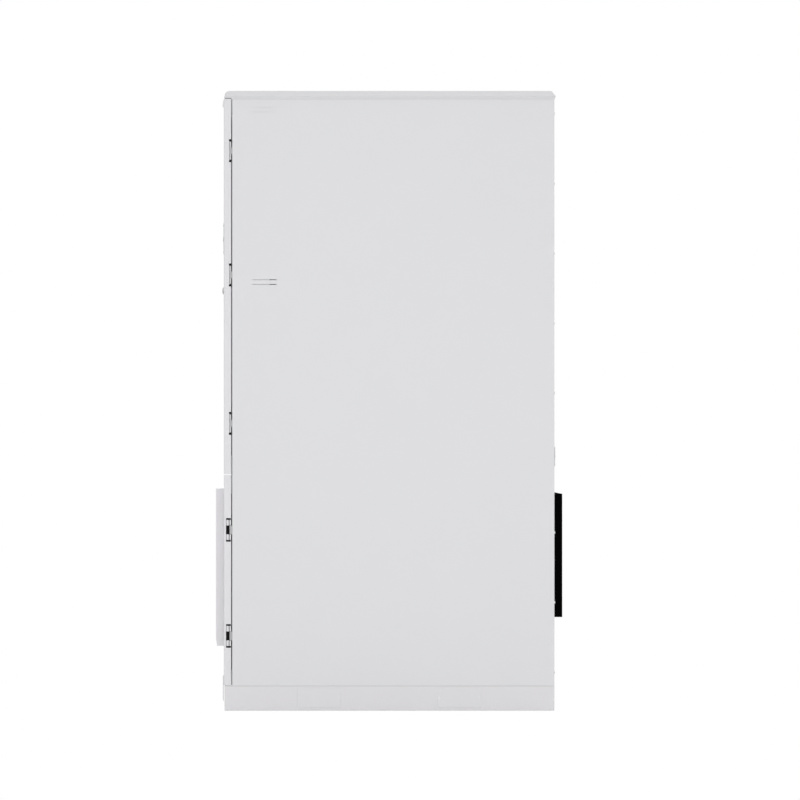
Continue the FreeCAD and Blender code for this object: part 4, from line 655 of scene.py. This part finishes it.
pack_coat = Finish("pack_coat", (0.21, 0.215, 0.225), 0.48, 0.2)
pack_coat.tint((0.18, 0.185, 0.195), pack_coat.noise(5.0))
pack_coat.relief(pack_coat.noise(700.0), 0.00012)
orange_nylon = Finish("orange_nylon", (0.85, 0.19, 0.008), 0.42)
orange_nylon.relief(orange_nylon.noise(600.0), 0.0001)
riser_metal = Finish("riser_metal", (0.66, 0.67, 0.68), 0.4, 1.0)
riser_metal.tint((0.58, 0.59, 0.60), riser_metal.noise(30.0, 2.0, (1, 1, 0.1)))
packs = ["battery_pack_1", "battery_pack_2", "battery_pack_3", "battery_pack_4"]
dress(pack_coat, *packs, edge=0.0015)
dress(zinc_sheet, "pack_runners")
dress(orange_nylon, "pack_terminals", "busbar_links", edge=0.0010)
dress(riser_metal, "coolant_manifold", edge=0.0010)
rim_height = 0.146
pack_face = -0.464
bolt_count = 13
bolt_inset = 0.03
socket_x = 0.095
socket_rise = 0.075
socket_sink = 0.005
union_x = 0.406
riser_y = -0.400
branch_rise = 0.045
union_brass = Finish("union_brass", (0.62, 0.46, 0.20), 0.35, 1.0)
union_brass.tint((0.50, 0.36, 0.15), union_brass.noise(60.0))
for number, pack in enumerate(packs):
    low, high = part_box(pack)
    piece = "pack_%d_" % (number + 1)
    bolt_pitch = (high.x - low.x - 2 * bolt_inset) / (bolt_count - 1)
    bolt_places = [(low.x + bolt_inset + k * bolt_pitch, pack_face, low.z + rim_height)
                   for k in range(bolt_count)]
    screws(piece + "bolts", bolt_places, "+z", screw_steel, "cabinet", radius=0.004, proud=0.003, sides=6)
    socket_places = both_sides(socket_x, pack_face - socket_sink, low.z + socket_rise)
    screws(piece + "sockets", socket_places, "-y", black_nylon, "cabinet", radius=0.0125, proud=0.009,
           sides=32)
    for side, way, x in (("left", "-x", -union_x), ("right", "+x", union_x)):
        screws(piece + "union_" + side, [(x, riser_y, low.z + branch_rise)], way, union_brass, "cabinet",
               radius=0.0125, proud=0.006, sides=6)

# Control box: a sheet box over the packs with a front panel that carries the main switch, the start and stop
# buttons and a window for the row of circuit breakers.

inner_paint = powder_coat("inner_paint", (0.60, 0.60, 0.61))
panel_paint = powder_coat("panel_paint", (0.60, 0.60, 0.61))
switch_x = -0.240
switch_half = 0.0425
plate_front = -0.4703
switch_away = panel_paint.along(0) - switch_x
plate_columns = (switch_away < switch_half) * (switch_away > -switch_half)
panel_paint.tint((0.82, 0.58, 0.03), plate_columns * (panel_paint.along(1) < plate_front))
red_plastic = Finish("red_plastic", (0.55, 0.012, 0.010), 0.3, 0.0, 0.2)
green_plastic = Finish("green_plastic", (0.01, 0.26, 0.06), 0.3, 0.0, 0.2)
for glossy in (red_plastic, green_plastic):
    glossy.relief(glossy.noise(300.0), 0.00005)
dress(inner_paint, "control_box")
dress(panel_paint, "control_panel")
dress(red_plastic, "disconnect_handle", "stop_button", edge=0.0010)
dress(green_plastic, "start_button", edge=0.0010)
breaker_grey = Finish("breaker_grey", (0.50, 0.51, 0.52), 0.45)
breaker_grey.relief(breaker_grey.noise(900.0), 0.0001)

panel_low, panel_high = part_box("control_panel")
panel_middle = (panel_low.z + panel_high.z) / 2
panel_sheet = 0.003
panel_face = panel_high.y - panel_sheet
window_x = -0.035
breaker_count = 6
breaker_pitch = 0.0177
breaker_columns = [window_x + (k - (breaker_count - 1) / 2) * breaker_pitch for k in range(breaker_count)]
case_size = (0.0172, 0.030, 0.0455)
case_y = panel_face + 0.010
nose_size = (0.0168, 0.010, 0.0240)
nose_y = panel_face - 0.006
toggle_size = (0.0105, 0.009, 0.0105)
toggle_y = panel_face - 0.0125
toggle_z = panel_middle + 0.004
blocks("breaker_cases", case_size, [(x, case_y, panel_middle) for x in breaker_columns], breaker_grey,
       "cabinet")
blocks("breaker_noses", nose_size, [(x, nose_y, panel_middle) for x in breaker_columns], breaker_grey,
       "cabinet")
blocks("breaker_toggles", toggle_size, [(x, toggle_y, toggle_z) for x in breaker_columns], black_nylon,
       "cabinet")
panel_inset = 0.012
middle_screw = 0.03
panel_columns = (panel_low.x + panel_inset, middle_screw, panel_high.x - panel_inset)
panel_spots = [(x, panel_face, z) for x in panel_columns
               for z in (panel_low.z + panel_inset, panel_high.z - panel_inset)]
screws("control_panel_screws", panel_spots, "-y", screw_steel, "cabinet")

# Fire canister: a small steel bottle of extinguishing agent, enamelled red and strapped under the roof over
# the battery bay.

red_enamel = Finish("red_enamel", (0.42, 0.012, 0.010), 0.25, 0.0, 0.6)
red_enamel.relief(red_enamel.noise(120.0), 0.0002)
dress(red_enamel, "fire_canister", edge=0.002)

# Studio: a white floor and surround, soft lamps in front, at both sides, behind and above, and a level
# camera that looks at the hinge side.

floor_size = 60.0
floor_drop = 0.0005
floor_glow = 0.25
nothing_selected()
bpy.ops.mesh.primitive_plane_add(size=floor_size, location=(0, 0, -floor_drop))
floor = bpy.context.object
floor.name = "studio_floor"
floor_white = Finish("floor_white", (0.86, 0.86, 0.86), 0.9)
path = floor_white.place.node("ShaderNodeLightPath")
path_outputs = path.socket.node.outputs
seen = path.maths("MAXIMUM", path, Wire(path.tree, path_outputs["Is Glossy Ray"]))
glow = seen.node("ShaderNodeEmission", None, {"Color": (1, 1, 1, 1), "Strength": floor_glow})
bare = Wire(seen.tree, floor_white.shader.outputs[0])
both = seen.node("ShaderNodeAddShader", None, {0: bare, 1: glow})
mixed = seen.node("ShaderNodeMixShader", None, {0: seen, 1: bare, 2: both})
seen.tree.links.new(mixed.socket, seen.tree.nodes["Material Output"].inputs["Surface"])
floor.data.materials.append(floor_white.material)

world = bpy.data.worlds.new("studio")
bpy.context.scene.world = world
world.use_nodes = True
sky = world.node_tree.nodes["Background"]
sky.inputs["Color"].default_value = (1, 1, 1, 1)
ray_outputs = world.node_tree.nodes.new("ShaderNodeLightPath").outputs
ray = Wire(world.node_tree, ray_outputs["Is Camera Ray"])
mirrored = Wire(ray.tree, ray_outputs["Is Glossy Ray"])
passed = Wire(ray.tree, ray_outputs["Is Transmission Ray"])
open_sky = 0.50
plain = (ray + mirrored + passed) * (1 - open_sky) + open_sky
capped = plain.maths("MINIMUM", plain, 1.0)
ray.tree.links.new(capped.socket, sky.inputs["Strength"])


lit_point = Vector((0, 0, 1.1))


def lamp(name, place, size, power):
    light = bpy.data.lights.new(name, "AREA")
    light.shape = "DISK"
    light.size = size
    light.energy = power
    holder = bpy.data.objects.new(name, light)
    holder.location = place
    holder.rotation_euler = (lit_point - Vector(place)).to_track_quat("-Z", "Y").to_euler()
    bpy.context.collection.objects.link(holder)


lamp("side_lamp", (7.0, -0.2, 1.2), 5.5, 205)
lamp("front_lamp", (-2.5, -6.5, 2.0), 5.0, 80)
lamp("rear_lamp", (-1.5, 6.5, 2.6), 5.0, 110)
lamp("far_lamp", (-7.0, -1.0, 2.6), 5.0, 120)
lamp("top_lamp", (0.0, 0.0, 8.0), 6.0, 160)

view_centre = (6.0, 0.0395, 1.1280)
view_width = 2.904
camera_data = bpy.data.cameras.new("side_camera")
camera_data.type = "ORTHO"
camera_data.ortho_scale = view_width
camera_data.clip_end = 60
camera = bpy.data.objects.new("side_camera", camera_data)
camera.location = view_centre
camera.rotation_euler = (math.pi / 2, 0, math.pi / 2)
bpy.context.collection.objects.link(camera)
bpy.context.scene.camera = camera
bpy.context.scene.view_settings.view_transform = "Standard"
